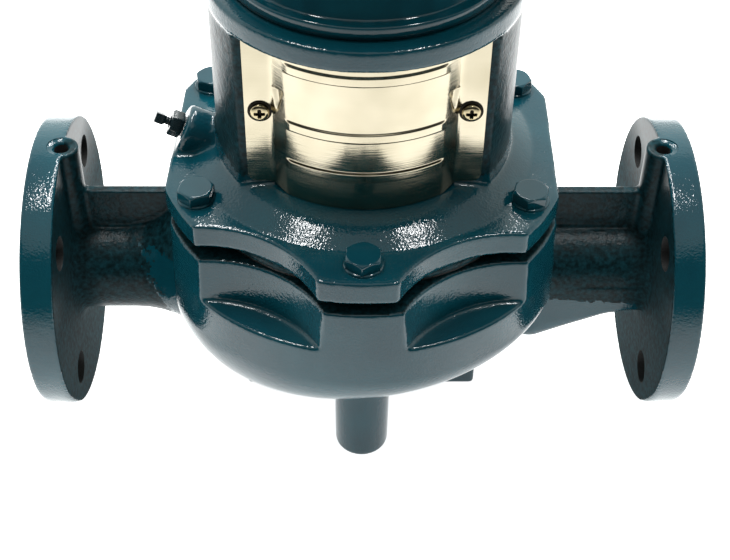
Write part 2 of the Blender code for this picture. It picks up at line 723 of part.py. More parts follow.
def make_guard_screws():
    """Four pan-head screws, each with its washer, that hold the guards to the columns."""
    seat = COLUMN_FACE_Y + 2 * GAP + GUARD_THICKNESS
    for number, (x, side) in enumerate(guard_screw_places(), 1):
        profile = [
            (0, 0.038), (GUARD_SCREW_SHANK_RADIUS, 0.038), (GUARD_SCREW_SHANK_RADIUS, seat),
            (GUARD_SCREW_WASHER_RADIUS, seat), (GUARD_SCREW_WASHER_RADIUS, seat + 0.0006),
            (GUARD_SCREW_HEAD_RADIUS, seat + 0.0006), (GUARD_SCREW_HEAD_RADIUS - 0.0006, seat + 0.0022),
            (0.0024, seat + 0.0030), (0, seat + 0.0030),
        ]
        turned(f"guard_screw_{number}", profile, 12, STAINLESS, towards((0, side, 0), (x, 0, GUARD_SCREW_Z)))


def vent_frame():
    """The frame of the air vent: its Z leaves the boss's sloping face at the middle."""
    tilt = math.radians(VENT_TILT_DEGREES)
    return towards((-math.cos(tilt), 0, math.sin(tilt)), (VENT_SEAT_X, 0.0, VENT_SEAT_Z))


def vent_cylinder(name, radius, low, high):
    """A plain cylinder on the air vent's axis."""
    return cylinder(name, radius, low, high, 20, DARK_PAINT, vent_frame())


def make_vent():
    """The air vent: a hexagon fitting screwed into the boss, and its square-headed bleed screw."""
    flats = hexagon(VENT_HEX_ACROSS_FLATS, 30)
    body = prism("vent_body", flats, GAP, VENT_HEX_LENGTH, DARK_PAINT, vent_frame())
    join(body, vent_cylinder("thread", VENT_THREAD_RADIUS, -VENT_THREAD_LENGTH, VENT_HEX_LENGTH / 2))
    end = VENT_HEX_LENGTH + CLEARANCE
    cut(body, vent_cylinder("way", VENT_STEM_RADIUS + GAP, VENT_STEM_START - GAP, end))
    screw = vent_cylinder("vent_screw", VENT_STEM_RADIUS, VENT_STEM_START, VENT_HEAD_START + 0.001)
    corners = [polar(VENT_HEAD_SIZE / math.sqrt(2), VENT_HEAD_TURN + 45 + 90 * step) for step in range(4)]
    head_end = VENT_HEAD_START + VENT_HEAD_LENGTH
    join(screw, prism("head", corners, VENT_HEAD_START, head_end, DARK_PAINT, vent_frame()))


def make_end_shield():
    """The motor's lower end shield, whose flange stands on the lantern."""
    bore = SHAFT_RADIUS + GAP
    seat = TOP_FLANGE_TOP_Z + GAP
    profile = [
        (bore, seat - 0.005), (TOP_FLANGE_BORE - GAP, seat - 0.005), (TOP_FLANGE_BORE - GAP, seat),
        (MOTOR_FLANGE_RADIUS, seat), (MOTOR_FLANGE_RADIUS, MOTOR_FLANGE_TOP_Z - 0.001),
        (MOTOR_FLANGE_RADIUS - 0.001, MOTOR_FLANGE_TOP_Z), (0.0660, MOTOR_FLANGE_TOP_Z + 0.0010),
        (MOTOR_WAIST_RADIUS + 0.002, MOTOR_WAIST_Z - 0.004), (MOTOR_WAIST_RADIUS, MOTOR_WAIST_Z),
        (FRAME_RADIUS + 0.002, MOTOR_WAIST_Z + 0.010), (FRAME_RADIUS + 0.002, SHIELD_TOP_Z),
        (bore, SHIELD_TOP_Z),
    ]
    turned("motor_end_shield", profile, 48)


def finned_outline():
    """The frame's cross section: a circle with straight radial cooling fins."""
    points = []
    half = math.degrees(math.asin(FIN_THICKNESS / 2 / FRAME_RADIUS))
    for fin in range(FIN_COUNT):
        middle = 360 * (fin + 0.5) / FIN_COUNT
        tip = math.degrees(math.asin(FIN_THICKNESS / 3 / FIN_TIP_RADIUS))
        points += [polar(FRAME_RADIUS, middle - half), polar(FIN_TIP_RADIUS, middle - tip),
                   polar(FIN_TIP_RADIUS, middle + tip), polar(FRAME_RADIUS, middle + half)]
    return points


def turn_to_discharge_side(*items):
    """Turns pieces built at the front a quarter turn about the pump's axis, to the discharge side."""
    for item in items:
        item.data.transform(Matrix.Rotation(math.pi / 2, 4, "Z"))


def make_motor_frame():
    """The finned motor frame with the flat pad that carries the terminal box."""
    frame = prism("motor_frame", finned_outline(), SHIELD_TOP_Z + GAP, FRAME_TOP_Z)
    room = block("room", (-0.043, -0.09, BOX_BOTTOM_Z - 0.001),
                 (0.043, BOX_BACK_Y + 0.0005, BOX_TOP_Z + 0.001))
    pad = block("pad", (-0.030, BOX_BACK_Y - 0.004, BOX_BOTTOM_Z + 0.010), (0.030, -0.040, BOX_TOP_Z - 0.010))
    turn_to_discharge_side(room, pad)
    cut(frame, room)
    join(frame, pad)


def make_rear_end():
    """The rear end shield, the fan on its shaft end and the cowl over it."""
    low = FRAME_TOP_Z + GAP
    shield = [
        (0, low), (0.0690, low), (0.0690, REAR_SHIELD_TOP_Z - 0.004), (0.0650, REAR_SHIELD_TOP_Z),
        (0, REAR_SHIELD_TOP_Z),
    ]
    turned("motor_rear_shield", shield, 48)
    cylinder("fan_shaft", FAN_SHAFT_RADIUS, REAR_SHIELD_TOP_Z + GAP, 0.396, 20, STEEL)
    fan = ring("cooling_fan", FAN_SHAFT_RADIUS + GAP, 0.018, 0.374, 0.396, 28, POLYMER)
    join(fan, ring("plate", 0.016, FAN_RADIUS - 0.004, 0.374, 0.3765, 40, POLYMER))
    for blade in range(FAN_BLADES):
        outline = [(0.0165, -0.0012), (FAN_RADIUS, -0.0012), (FAN_RADIUS, 0.0012), (0.0165, 0.0012)]
        turn = Matrix.Rotation(math.tau * blade / FAN_BLADES, 4, "Z")
        join(fan, prism("blade", outline, 0.3755, 0.394, POLYMER, turn))
    make_cowl()


def make_cowl():
    """The fan cowl: a pressed cup with a ring of slots in its top."""
    inner = COWL_RADIUS - COWL_WALL
    profile = [
        (inner, COWL_BOTTOM_Z), (COWL_RADIUS, COWL_BOTTOM_Z), (COWL_RADIUS, COWL_TOP_Z - 0.010),
        (COWL_RADIUS - 0.003, COWL_TOP_Z - 0.003), (COWL_RADIUS - 0.010, COWL_TOP_Z), (0, COWL_TOP_Z),
        (0, COWL_TOP_Z - COWL_WALL), (inner - 0.008, COWL_TOP_Z - COWL_WALL), (inner, COWL_TOP_Z - 0.010),
    ]
    cowl = turned("fan_cowl", profile, 48)
    for slot in range(COWL_SLOT_COUNT):
        turn = Matrix.Rotation(math.tau * slot / COWL_SLOT_COUNT, 4, "Z")
        outline = [(0.020, -0.0030), (0.056, -0.0055), (0.056, 0.0055), (0.020, 0.0030)]
        cut(cowl, prism("slot", outline, COWL_TOP_Z - 0.005, COWL_TOP_Z + 0.005, PAINT, turn))
    for number in range(4):
        direction = (*polar(1.0, 45 + 90 * number), 0)
        frame = towards(direction, (0, 0, COWL_BOTTOM_Z + 0.005))
        cut(cowl, cylinder("hole", 0.0023, 0.060, 0.080, 12, PAINT, frame))
        profile = [
            (0, 0.0694), (0.0020, 0.0694), (0.0020, COWL_RADIUS + GAP), (0.0042, COWL_RADIUS + GAP),
            (0.0038, COWL_RADIUS + 0.0022), (0, COWL_RADIUS + 0.0028),
        ]
        turned(f"cowl_screw_{number + 1}", profile, 12, STEEL, frame)


def make_terminal_box():
    """The terminal box on the motor's discharge side, its lid, lid screws and two glands underneath."""
    low = (-BOX_HALF_WIDTH + 0.002, BOX_FRONT_Y, BOX_BOTTOM_Z + 0.002)
    high = (BOX_HALF_WIDTH - 0.002, BOX_BACK_Y - 0.004 - GAP, BOX_TOP_Z - 0.002)
    pieces = [block("terminal_box", low, high)]
    lid_back = BOX_FRONT_Y - GAP
    pieces.append(block("terminal_box_lid", (-BOX_HALF_WIDTH, LID_FRONT_Y, BOX_BOTTOM_Z),
                        (BOX_HALF_WIDTH, lid_back, BOX_TOP_Z)))
    corners = [(x, z) for x in (-1, 1) for z in (BOX_BOTTOM_Z + LID_SCREW_INSET, BOX_TOP_Z - LID_SCREW_INSET)]
    for number, (side, z) in enumerate(corners, 1):
        frame = towards((0, -1, 0), (side * (BOX_HALF_WIDTH - LID_SCREW_INSET), LID_FRONT_Y, z))
        profile = [(0, GAP), (0.0038, GAP), (0.0034, 0.0020), (0, 0.0026)]
        pieces.append(turned(f"lid_screw_{number}", profile, 12, STEEL, frame))
    for number, side in ((1, -1), (2, 1)):
        frame = towards((0, 0, -1), (side * GLAND_SPREAD, (BOX_FRONT_Y + BOX_BACK_Y) / 2, low[2]))
        gland = prism(f"cable_gland_{number}", hexagon(2 * GLAND_RADIUS), GAP, 0.006, POLYMER, frame)
        dome = [(0, 0.005), (0.0095, 0.005), (0.0095, GLAND_LENGTH - 0.005), (0.0070, GLAND_LENGTH),
                (0, GLAND_LENGTH)]
        pieces.append(join(gland, turned("dome", dome, 16, POLYMER, frame)))
    turn_to_discharge_side(*pieces)


def stand_on_feet():
    """Lifts every piece so that the feet stand at height zero."""
    for item in bpy.data.objects:
        item.location.z = -FEET_BOTTOM_Z


def main():
    """Builds every sub-part of the pump."""
    clear_scene()
    make_casing()
    make_lantern_cover()
    make_cover_bolts()
    make_shaft_train()
    make_guard("front_guard", -1)
    make_guard("rear_guard", 1)
    make_guard_screws()
    make_vent()
    make_end_shield()
    make_motor_frame()
    make_rear_end()
    make_terminal_box()
    stand_on_feet()


main()
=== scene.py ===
"""The looks of the vertical circulation pump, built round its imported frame.

Lengths are millimetres, and heights are counted from the centre line of the two ports, as on a works drawing:
`to_frame` turns them into the frame's metres above the floor. Where a finish or the studio reads a place in
the frame instead, its class says so.
"""
import logging
import math
from collections.abc import Callable, Sequence
from dataclasses import dataclass, field
from enum import Enum

import bmesh
import bpy
import numpy as np
from mathutils import Matrix, Vector

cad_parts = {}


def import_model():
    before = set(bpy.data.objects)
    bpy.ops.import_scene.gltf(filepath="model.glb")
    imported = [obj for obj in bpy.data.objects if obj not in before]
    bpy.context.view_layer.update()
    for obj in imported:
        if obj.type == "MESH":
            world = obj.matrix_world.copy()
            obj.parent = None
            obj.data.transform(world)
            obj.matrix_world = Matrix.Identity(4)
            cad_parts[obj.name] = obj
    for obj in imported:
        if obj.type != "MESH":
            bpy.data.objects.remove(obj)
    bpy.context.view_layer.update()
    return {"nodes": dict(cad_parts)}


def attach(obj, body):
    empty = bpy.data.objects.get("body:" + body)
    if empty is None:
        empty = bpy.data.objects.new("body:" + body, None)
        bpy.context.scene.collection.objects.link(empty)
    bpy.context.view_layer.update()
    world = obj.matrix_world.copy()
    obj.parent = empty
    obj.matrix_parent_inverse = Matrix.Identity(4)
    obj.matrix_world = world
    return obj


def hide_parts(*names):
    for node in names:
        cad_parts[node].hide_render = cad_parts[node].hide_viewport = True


LOG = logging.getLogger("pump")
MM = 0.001
PORT_HEIGHT = 90.0
LIFT = np.array((0.0, 0.0, PORT_HEIGHT))
TURN = 2 * math.pi

Item = bpy.types.Object
Material = bpy.types.Material
Socket = bpy.types.NodeSocket
Triple = tuple[float, float, float]
Amount = Callable[[np.ndarray], np.ndarray]


class Slot(Enum):
    """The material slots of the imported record."""

    CASTING = "casting_paint"
    MOTOR = "motor_paint"
    STAINLESS = "stainless"
    FITTING = "dark_fitting"
    STEEL = "machined_steel"
    POLYMER = "black_polymer"


class Side(Enum):
    """The two ports, by the way that they point along X."""

    SUCTION = -1
    DISCHARGE = 1


def to_frame(points: np.ndarray) -> np.ndarray:
    """Turns drawing millimetres into the frame's metres: lifted by the port height, then scaled."""
    return (np.asarray(points, float) + LIFT) * MM


def from_frame(parts: bpy.types.bpy_prop_collection, place: str) -> np.ndarray:
    """Reads places from a mesh in drawing millimetres.

    Args:
        parts: the mesh's vertices or its faces.
        place: "co" for the places of vertices, "center" for the middles of faces.

    Returns:
        The places, (n, 3).
    """
    flat = np.empty(len(parts) * 3, np.float32)
    parts.foreach_get(place, flat)
    return flat.reshape(-1, 3) / MM - LIFT


def rising(values: np.ndarray, low: float, high: float) -> np.ndarray:
    """Rises from 0 at low to 1 at high along the curve 3t^2 - 2t^3."""
    share = np.clip((np.asarray(values, float) - low) / (high - low), 0, 1)
    return share * share * (3 - 2 * share)


def falling(values: np.ndarray, low: float, high: float) -> np.ndarray:
    """Falls from 1 at low to 0 at high along the same curve."""
    return 1 - rising(values, low, high)


def polar(radius: float, degrees: float) -> tuple[float, float]:
    """The (x, y) of a place at a radius and an angle."""
    return radius * math.cos(math.radians(degrees)), radius * math.sin(math.radians(degrees))


def circle(count: int = 96) -> np.ndarray:
    """Angles in even steps round a full turn."""
    return np.linspace(0, TURN, count, endpoint=False)


def grid(x: np.ndarray, y: np.ndarray, z: np.ndarray) -> np.ndarray:
    """Joins three coordinates, spread over their common shape, as points."""
    return np.stack(np.broadcast_arrays(x, y, z), -1)


def round_axis(radius: np.ndarray, height: np.ndarray) -> np.ndarray:
    """Sets rows of radii, in even steps of angle, round Z: (r cos a, r sin a, height)."""
    angle = circle(radius.shape[1])
    return grid(radius * np.cos(angle), radius * np.sin(angle), height)


def turned(profile: np.ndarray, count: int = 96) -> np.ndarray:
    """Turns a (radius, height) profile about Z: each point goes round the circle of its radius."""
    return round_axis(np.broadcast_to(profile[:, :1], (len(profile), count)), profile[:, 1:2])


def extruded(reach: np.ndarray, profile: np.ndarray) -> np.ndarray:
    """Extrudes a star-shaped outline.

    The radius is the outline's reach less the profile's inset, and never below 0.

    Args:
        reach: the outline's distance from the axis, in even steps of angle.
        profile: (inset, height) points from the middle of the floor to the middle of the roof.

    Returns:
        The grid of points.
    """
    return round_axis(np.maximum(reach[None, :] - profile[:, :1], 0), profile[:, 1:2])


def stacked(rows: Sequence[tuple[np.ndarray, float]]) -> np.ndarray:
    """Stacks outlines, each a reach in even steps of angle, at their heights."""
    reaches, heights = zip(*rows)
    return round_axis(np.array(reaches), np.array(heights)[:, None])


def rounded(corners: Sequence[Triple], steps: int = 4, closed: bool = False) -> np.ndarray:
    """Rounds a polyline whose points are (x, y, radius).

    Each corner becomes the parabola (1-t)^2 A + 2t(1-t) P + t^2 B between points A and B that lie the radius,
    or just under half of the shorter side, away from the corner P.

    Args:
        corners: the polyline's points, each with its radius.
        steps: how many pieces each corner gets.
        closed: whether the last point joins the first.

    Returns:
        The rounded points, (n, 2).
    """
    point, radius = np.split(np.array(corners, float), [2], axis=1)
    radius = radius[:, 0]
    if not closed:
        radius[[0, -1]] = 0
    ways, reaches = [], []
    for neighbour in (np.roll(point, 1, axis=0), np.roll(point, -1, axis=0)):
        run = neighbour - point
        length = np.maximum(np.linalg.norm(run, axis=1), 1e-9)
        ways.append(run / length[:, None])
        reaches.append(np.minimum(radius, 0.48 * length))
    reach = np.minimum(*reaches)[:, None]
    before, after = (point + way * reach for way in ways)
    share = np.linspace(0, 1, steps + 1)[None, :, None]
    near, middle, far = (1 - share) ** 2, 2 * share * (1 - share), share ** 2
    return (near * before[:, None] + middle * point[:, None] + far * after[:, None]).reshape(-1, 2)


def evenly(path: np.ndarray, spacing: float) -> np.ndarray:
    """Sets points along a path at even spacing.

    Args:
        path: the path's points.
        spacing: the most millimetres between two new points.

    Returns:
        The new points.
    """
    run = np.concatenate([[0], np.cumsum(np.linalg.norm(np.diff(path, axis=0), axis=1))])
    places = np.linspace(0, run[-1], math.ceil(run[-1] / spacing) + 1)
    return np.stack([np.interp(places, run, axis) for axis in path.T], -1)


def slab_profile(low: float, high: float, edge: float) -> np.ndarray:
    """The (inset, height) profile of a slab whose two rims are rounded by edge."""
    middle = 1000.0
    return rounded([(middle, low, 0), (0, low, edge), (0, high, edge), (middle, high, 0)])


def polygon_reach(sides: int, across_flats: float, sharpness: float, turn: float = 0.0,
                  count: int = 96) -> np.ndarray:
    """Gives the reach of a regular polygon with soft corners.

    It is half the width across flats over the p-norm of the cosines towards the sides' middles, where p is
    the sharpness.

    Args:
        sides: how many sides it has.
        across_flats: its width between opposite sides.
        sharpness: a high one keeps the corners crisp.
        turn: the angle in degrees of the first side's middle.
        count: how many steps of angle it gets.

    Returns:
        Its distance from the axis, in even steps of angle.
    """
    middle = math.radians(turn) + TURN * np.arange(sides)[None, :] / sides
    facing = np.maximum(np.cos(circle(count)[:, None] - middle), 0) ** sharpness
    return across_flats / 2 / facing.sum(axis=1) ** (1 / sharpness)


def along(points: np.ndarray, direction: Sequence[float], origin: Sequence[float]) -> np.ndarray:
    """Turns points made along Z to a direction, and carries them to an origin."""
    turn = np.array(Vector(direction).to_track_quat("Z", "Y").to_matrix())
    return points @ turn.T + np.asarray(origin, float)


def block(low: Sequence[float], high: Sequence[float], edge: float) -> np.ndarray:
    """Makes a box with round edges: a sphere whose octants are carried to the corners of a smaller box.

    Args:
        low: its lowest corner.
        high: its highest corner.
        edge: the radius of its edges, and of the sphere.

    Returns:
        The grid of points, with a row at each end for the middle of the floor and the roof.
    """
    steps = 5
    low, high = np.array(low, float), np.array(high, float)
    middle, half = (low + high) / 2, (high - low) / 2 - edge
    across = np.concatenate([np.linspace(quarter, quarter + 1, steps) for quarter in range(4)]) * math.pi / 2
    signs = np.repeat([(1, 1), (-1, 1), (-1, -1), (1, -1)], steps, axis=0)
    up = np.concatenate([np.linspace(-1, 0, steps), np.linspace(0, 1, steps)])[:, None] * math.pi / 2
    rise = np.repeat([-1, 1], steps)[:, None]
    shell = grid(half[0] * signs[None, :, 0] + edge * np.cos(up) * np.cos(across),
                 half[1] * signs[None, :, 1] + edge * np.cos(up) * np.sin(across),
                 half[2] * rise + edge * np.sin(up))
    floor, roof = (np.broadcast_to((0, 0, way * (half[2] + edge)), shell[:1].shape) for way in (-1, 1))
    return np.concatenate([floor, shell, roof]) + middle


def lofted(sections: np.ndarray) -> np.ndarray:
    """Closes both ends of a row of sections with a point in the middle of the first and the last.

    Args:
        sections: the sections, (rows, columns, 3).

    Returns:
        The sections and their two ends.
    """
    start, end = (np.broadcast_to(section.mean(axis=0), section.shape)[None]
                  for section in (sections[0], sections[-1]))
    return np.concatenate([start, sections, end])


def grid_faces(rows: int, columns: int, wrap_rows: bool, wrap_columns: bool) -> np.ndarray:
    """Numbers the corners of a grid's quads: each cell joins its corner to the next row's and column's.

    Args:
        rows: the number of rows.
        columns: the number of columns.
        wrap_rows: whether the last row joins the first.
        wrap_columns: whether the last column joins the first.

    Returns:
        Four corner numbers for each quad.
    """
    row, column = np.meshgrid(np.arange(rows - (not wrap_rows)), np.arange(columns - (not wrap_columns)),
                              indexing="ij")
    row, below, beside = row * columns, (row + 1) % rows * columns, (column + 1) % columns
    return np.stack((row + column, row + beside, below + beside, below + column), -1).reshape(-1, 4)


def add_object(name: str, data: bpy.types.ID) -> Item:
    """Adds an object with its mesh, light or camera to the scene.

    Args:
        name: the object's name.
        data: its mesh, light or camera.

    Returns:
        The new object.
    """
    item = bpy.data.objects.new(name, data)
    bpy.context.scene.collection.objects.link(item)
    return item


def skinned(name: str, points: np.ndarray, faces: np.ndarray, crease: float) -> Item:
    """Makes an object of points and faces, with its seams and poles merged and its faces turned outwards.

    Args:
        name: the object's name.
        points: its points in drawing millimetres, in any shape that ends in 3.
        faces: the numbers of each face's corners.
        crease: the angle in degrees past which an edge stays sharp.

    Returns:
        The new object, with its place in its mesh.
    """
    mesh = bpy.data.meshes.new(name)
    mesh.from_pydata(to_frame(points.reshape(-1, 3)).tolist(), [], faces.tolist())
    shape = bmesh.new()
    shape.from_mesh(mesh)
    bmesh.ops.remove_doubles(shape, verts=shape.verts, dist=2e-6)
    bmesh.ops.dissolve_degenerate(shape, dist=1e-6, edges=shape.edges)
    bmesh.ops.recalc_face_normals(shape, faces=shape.faces)
    shape.to_mesh(mesh)
    shape.free()
    mesh.shade_smooth()
    mesh.set_sharp_from_angle(angle=math.radians(crease))
    return add_object(name, mesh)


def surface(name: str, points: np.ndarray, wrap_rows: bool = False, wrap_columns: bool = True,
            crease: float = 40.0) -> Item:
    """Makes an object of a grid of points.

    Args:
        name: the object's name.
        points: (rows, columns, 3) in drawing millimetres; rows that shrink to one point close the ends.
        wrap_rows: whether the last row joins the first.
        wrap_columns: whether the last column joins the first.
        crease: the angle in degrees past which an edge stays sharp.

    Returns:
        The new object.
    """
    return skinned(name, points, grid_faces(*points.shape[:2], wrap_rows, wrap_columns), crease)


def modify(item: Item, kind: str, **settings: object) -> None:
    """Adds a modifier to an object.

    Args:
        item: the object.
        kind: the modifier's type.
        settings: the modifier's own properties.
    """
    step = item.modifiers.new(kind.lower(), kind)
    for name, value in settings.items():
        setattr(step, name, value)


def applied(item: Item) -> Item:
    """Puts an object's modifiers into its mesh.

    Args:
        item: the object.

    Returns:
        The same object.
    """
    graph = bpy.context.evaluated_depsgraph_get()
    mesh = bpy.data.meshes.new_from_object(item.evaluated_get(graph))
    item.modifiers.clear()
    item.data = mesh
    return item


def joined(name: str, items: Sequence[Item]) -> Item:
    """Gathers several objects' meshes in one object, and removes them.

    Args:
        name: the new object's name.
        items: the objects.

    Returns:
        The new object.
    """
    shape = bmesh.new()
    for item in items:
        shape.from_mesh(item.data)
        bpy.data.objects.remove(item, do_unlink=True)
    mesh = bpy.data.meshes.new(name)
    shape.to_mesh(mesh)
    shape.free()
    return add_object(name, mesh)


def linear(code: str) -> tuple[float, float, float, float]:
    """Turns an sRGB hex colour into linear light: c / 12.92 when dark, else ((c + 0.055) / 1.055)^2.4.

    Args:
        code: the colour, such as "#083E49".

    Returns:
        Its red, green and blue, and an alpha of 1.
    """
    parts = np.array([int(code[index:index + 2], 16) for index in (1, 3, 5)]) / 255
    light = np.where(parts <= 0.04045, parts / 12.92, ((parts + 0.055) / 1.055) ** 2.4)
    return (*light.tolist(), 1.0)


def add_node(tree: bpy.types.NodeTree, kind: str, inputs: dict[str | int, object] | None = None,
             **settings: object) -> bpy.types.Node:
    """Adds a node to a tree.

    Args:
        tree: the node tree.
        kind: the node's type, without the words that all shader nodes' types start with.
        inputs: what its input sockets get, by name or number: a value or another node's output socket.
        settings: the node's own properties.

    Returns:
        The new node.
    """
    node = tree.nodes.new(f"ShaderNode{kind}")
    for name, value in settings.items():
        setattr(node, name, value)
    for socket, value in (inputs or {}).items():
        if isinstance(value, Socket):
            tree.links.new(value, node.inputs[socket])
        else:
            node.inputs[socket].default_value = value
    return node


def limits(value: Socket, low: float, high: float, start: float = 0.0, end: float = 1.0) -> dict[str, object]:
    """The inputs that carry a value from low..high over to start..end."""
    return {"Value": value, "From Min": low, "From Max": high, "To Min": start, "To Max": end}


class Finish:
    """A finish in the making: a Principled shader fed by patterns on the object's own coordinates."""

    def __init__(self, name: str, **values: object) -> None:
        """Starts the material with its shader's values; an underscore in a name stands for a space.

        Args:
            name: the material's name.
            values: the shader's values, by the names of their sockets.
        """
        self.material = bpy.data.materials.new(name)
        self.material.use_nodes = True
        self.tree = self.material.node_tree
        self.tree.nodes.clear()
        self.shader = add_node(self.tree, "BsdfPrincipled",
                               {socket.replace("_", " "): value for socket, value in values.items()})
        add_node(self.tree, "OutputMaterial", {"Surface": self.shader.outputs["BSDF"]})
        self.place = add_node(self.tree, "TexCoord").outputs["Object"]
        self.axes = add_node(self.tree, "SeparateXYZ", {0: self.place}).outputs

    def feed(self, socket: str, source: Socket) -> None:
        """Links a source to one of the shader's sockets."""
        self.tree.links.new(source, self.shader.inputs[socket])

    def spots(self, size: float, detail: float, stretch: Triple = (1, 1, 1)) -> Socket:
        """Makes a pattern of cloudy spots.

        Args:
            size: how many millimetres a spot is across.
            detail: how many finer patterns are added to it.
            stretch: how far it is drawn out along each axis.

        Returns:
            The pattern, from 0 to 1.
        """
        scale = {"Vector": self.place, "Scale": tuple(1 / factor for factor in stretch)}
        place = add_node(self.tree, "Mapping", scale).outputs[0]
        return add_node(self.tree, "TexNoise", {"Vector": place, "Scale": 1 / (size * MM),
                                                "Detail": detail}).outputs[0]

    def tint(self, pattern: Socket, low: float, high: float, first: str, second: str) -> None:
        """Colours the surface by a pattern.

        Args:
            pattern: the pattern.
            low: where the first colour starts to give way.
            high: where the second has taken over.
            first: the hex colour under low.
            second: the hex colour over high.
        """
        share = add_node(self.tree, "MapRange", limits(pattern, low, high)).outputs[0]
        colours = {"Factor": share, 6: linear(first), 7: linear(second)}
        self.feed("Base Color", add_node(self.tree, "Mix", colours, data_type="RGBA").outputs[2])

    def wear(self, pattern: Socket, low: float, high: float) -> None:
        """Spreads the roughness over a pattern of spots, from low to high."""
        spread = add_node(self.tree, "MapRange", limits(pattern, 0.3, 0.7, low, high))
        self.feed("Roughness", spread.outputs[0])

    def relief(self, *layers: tuple[Socket, float]) -> None:
        """Bends the surface's normal by layers of relief, each on top of the one before.

        Args:
            layers: each layer's height, from 0 to 1, and its depth in millimetres.
        """
        under = {}
        for height, depth in layers:
            layer = add_node(self.tree, "Bump", {"Height": height, "Distance": depth * MM, **under})
            under = {"Normal": layer.outputs[0]}
        self.feed("Normal", under["Normal"])


@dataclass(frozen=True)
class CastEnamel:
    """Glossy teal alkyd enamel on sand-cast grey iron, sprayed thick.

    The sand's grain shows through as fine dimples that break highlights into sparkles, and the enamel's own
    orange peel bends them. The dimples are coarser than real sand, so that they show in the render.
    """

    name: str = "enamel_on_sand_cast_iron"
    colour: str = "#083E49"
    shade: str = "#06343F"
    gloss: float = 0.085
    cloud_size: float = 45.0
    haze_size: float = 9.0
    grain_size: float = 1.2
    grain_depth: float = 0.12
    peel_size: float = 6.0
    peel_depth: float = 0.10

    def build(self) -> Material:
        """Builds the node tree.

        Returns:
            The material.
        """
        finish = Finish(self.name, IOR=1.44, Metallic=0.0)
        finish.tint(finish.spots(self.cloud_size, 3.0), 0.35, 0.65, self.colour, self.shade)
        finish.wear(finish.spots(self.haze_size, 3.0), self.gloss * 0.8, self.gloss * 1.25)
        peel, grain = (finish.spots(size, 1.0) for size in (self.peel_size, self.grain_size))
        finish.relief((peel, self.peel_depth), (grain, self.grain_depth))
        return finish.material


@dataclass(frozen=True)
class PaintedShadeCoat:
    """Painted shade on sand-cast iron: a coat that darkens the places where the casting lies in shade or
    reflects it.

    It is nearly black and dull, mottled with a little of the enamel, and its skin reflects weakly. The sand's
    grain fades out before the flanges' turned backs, which are matt, and least so at their tops. The grain
    ends between the distances along X in grain_end, and the backs' gloss changes from the first to the second
    of back_gloss between the heights above the floor in back_height.
    """

    name: str = "painted_shade_on_casting"
    # The near-black colour is painted shade; the mottle mixes in a little of the enamel's tone.
    colour: str = "#07181B"
    mottle: str = "#11333A"
    gloss: float = 0.30
    back_gloss: tuple[float, float] = (0.85, 0.34)
    reflection: float = 0.09
    mottle_size: float = 2.4
    lump_size: float = 5.0
    lump_depth: float = 0.30
    grain_size: float = 1.5
    grain_depth: float = 0.20
    grain_end: tuple[float, float] = (148.0, 158.0)
    back_height: tuple[float, float] = (100.0, 150.0)

    def build(self) -> Material:
        """Builds the node tree.

        Returns:
            The material.
        """
        finish = Finish(self.name, IOR=1.5, Specular_IOR_Level=self.reflection)
        finish.tint(finish.spots(self.mottle_size, 4.0), 0.35, 0.70, self.colour, self.mottle)
        tree, axes = finish.tree, finish.axes
        ends, heights = ([place * MM for place in places] for places in (self.grain_end, self.back_height))
        distance = add_node(tree, "Math", {0: axes["X"]}, operation="ABSOLUTE").outputs[0]
        sandy = add_node(tree, "MapRange", limits(distance, *ends, 1, 0)).outputs[0]
        dull = add_node(tree, "MapRange", limits(axes["Z"], *heights, *self.back_gloss)).outputs[0]
        mixed = add_node(tree, "Mix", {"Factor": sandy, "A": dull, "B": self.gloss})
        finish.feed("Roughness", mixed.outputs[0])
        lumps, grain = (
            add_node(tree, "Math", {0: sandy, 1: finish.spots(size, 2.0)}, operation="MULTIPLY").outputs[0]
            for size in (self.lump_size, self.grain_size))
        finish.relief((lumps, self.lump_depth), (grain, self.grain_depth))
        return finish.material


@dataclass(frozen=True)
class BrushedStainless:
    """Bright annealed stainless sheet, brushed round the pump before it was pressed.

    The brushing draws highlights out across its lines, so bright areas fade softly up and down. The lines are
    coarser than real ones, so that they show in the render. Below its middle the sheet leans in by a few
    degrees, as a thin strip does that is held by one screw: bow is the heights above the floor between which
    it comes forward, and how far.
    """

    name: str = "brushed_stainless_sheet"
    colour: str = "#B9B19D"
    shade: str = "#A59D88"
    gloss: float = 0.13
    cloud_size: float = 30.0
    line_width: float = 0.5
    line_length: float = 45.0
    line_depth: float = 0.035
    bow: Triple = (180.0, 236.0, 3.6)

    def build(self) -> Material:
        """Builds the node tree.

        Returns:
            The material.
        """
        finish = Finish(self.name, Metallic=1.0)
        lines = finish.spots(self.line_width, 2.0, (self.line_length, self.line_length, 1))
        finish.tint(finish.spots(self.cloud_size, 2.0), 0.3, 0.7, self.colour, self.shade)
        finish.wear(lines, self.gloss * 0.7, self.gloss * 1.5)
        low, high, depth = self.bow
        lean = add_node(finish.tree, "MapRange", limits(finish.axes["Z"], low * MM, high * MM),
                        interpolation_type="SMOOTHSTEP").outputs[0]
        finish.relief((lean, depth), (lines, self.line_depth))
        return finish.material


@dataclass(frozen=True)
class Metal:
    """Bare or plated metal, turned or rolled: even, with faint tool marks and a slightly uneven gloss."""

    name: str
    colour: str
    gloss: float
    mark_size: float = 0.8
    mark_depth: float = 0.004

    def build(self) -> Material:
        """Builds the node tree.

        Returns:
            The material.
        """
        finish = Finish(self.name, Metallic=1.0, Base_Color=linear(self.colour))
        marks = finish.spots(self.mark_size, 3.0, (1, 1, 0.3))
        finish.wear(marks, self.gloss * 0.75, self.gloss * 1.3)
        finish.relief((marks, self.mark_depth))
        return finish.material


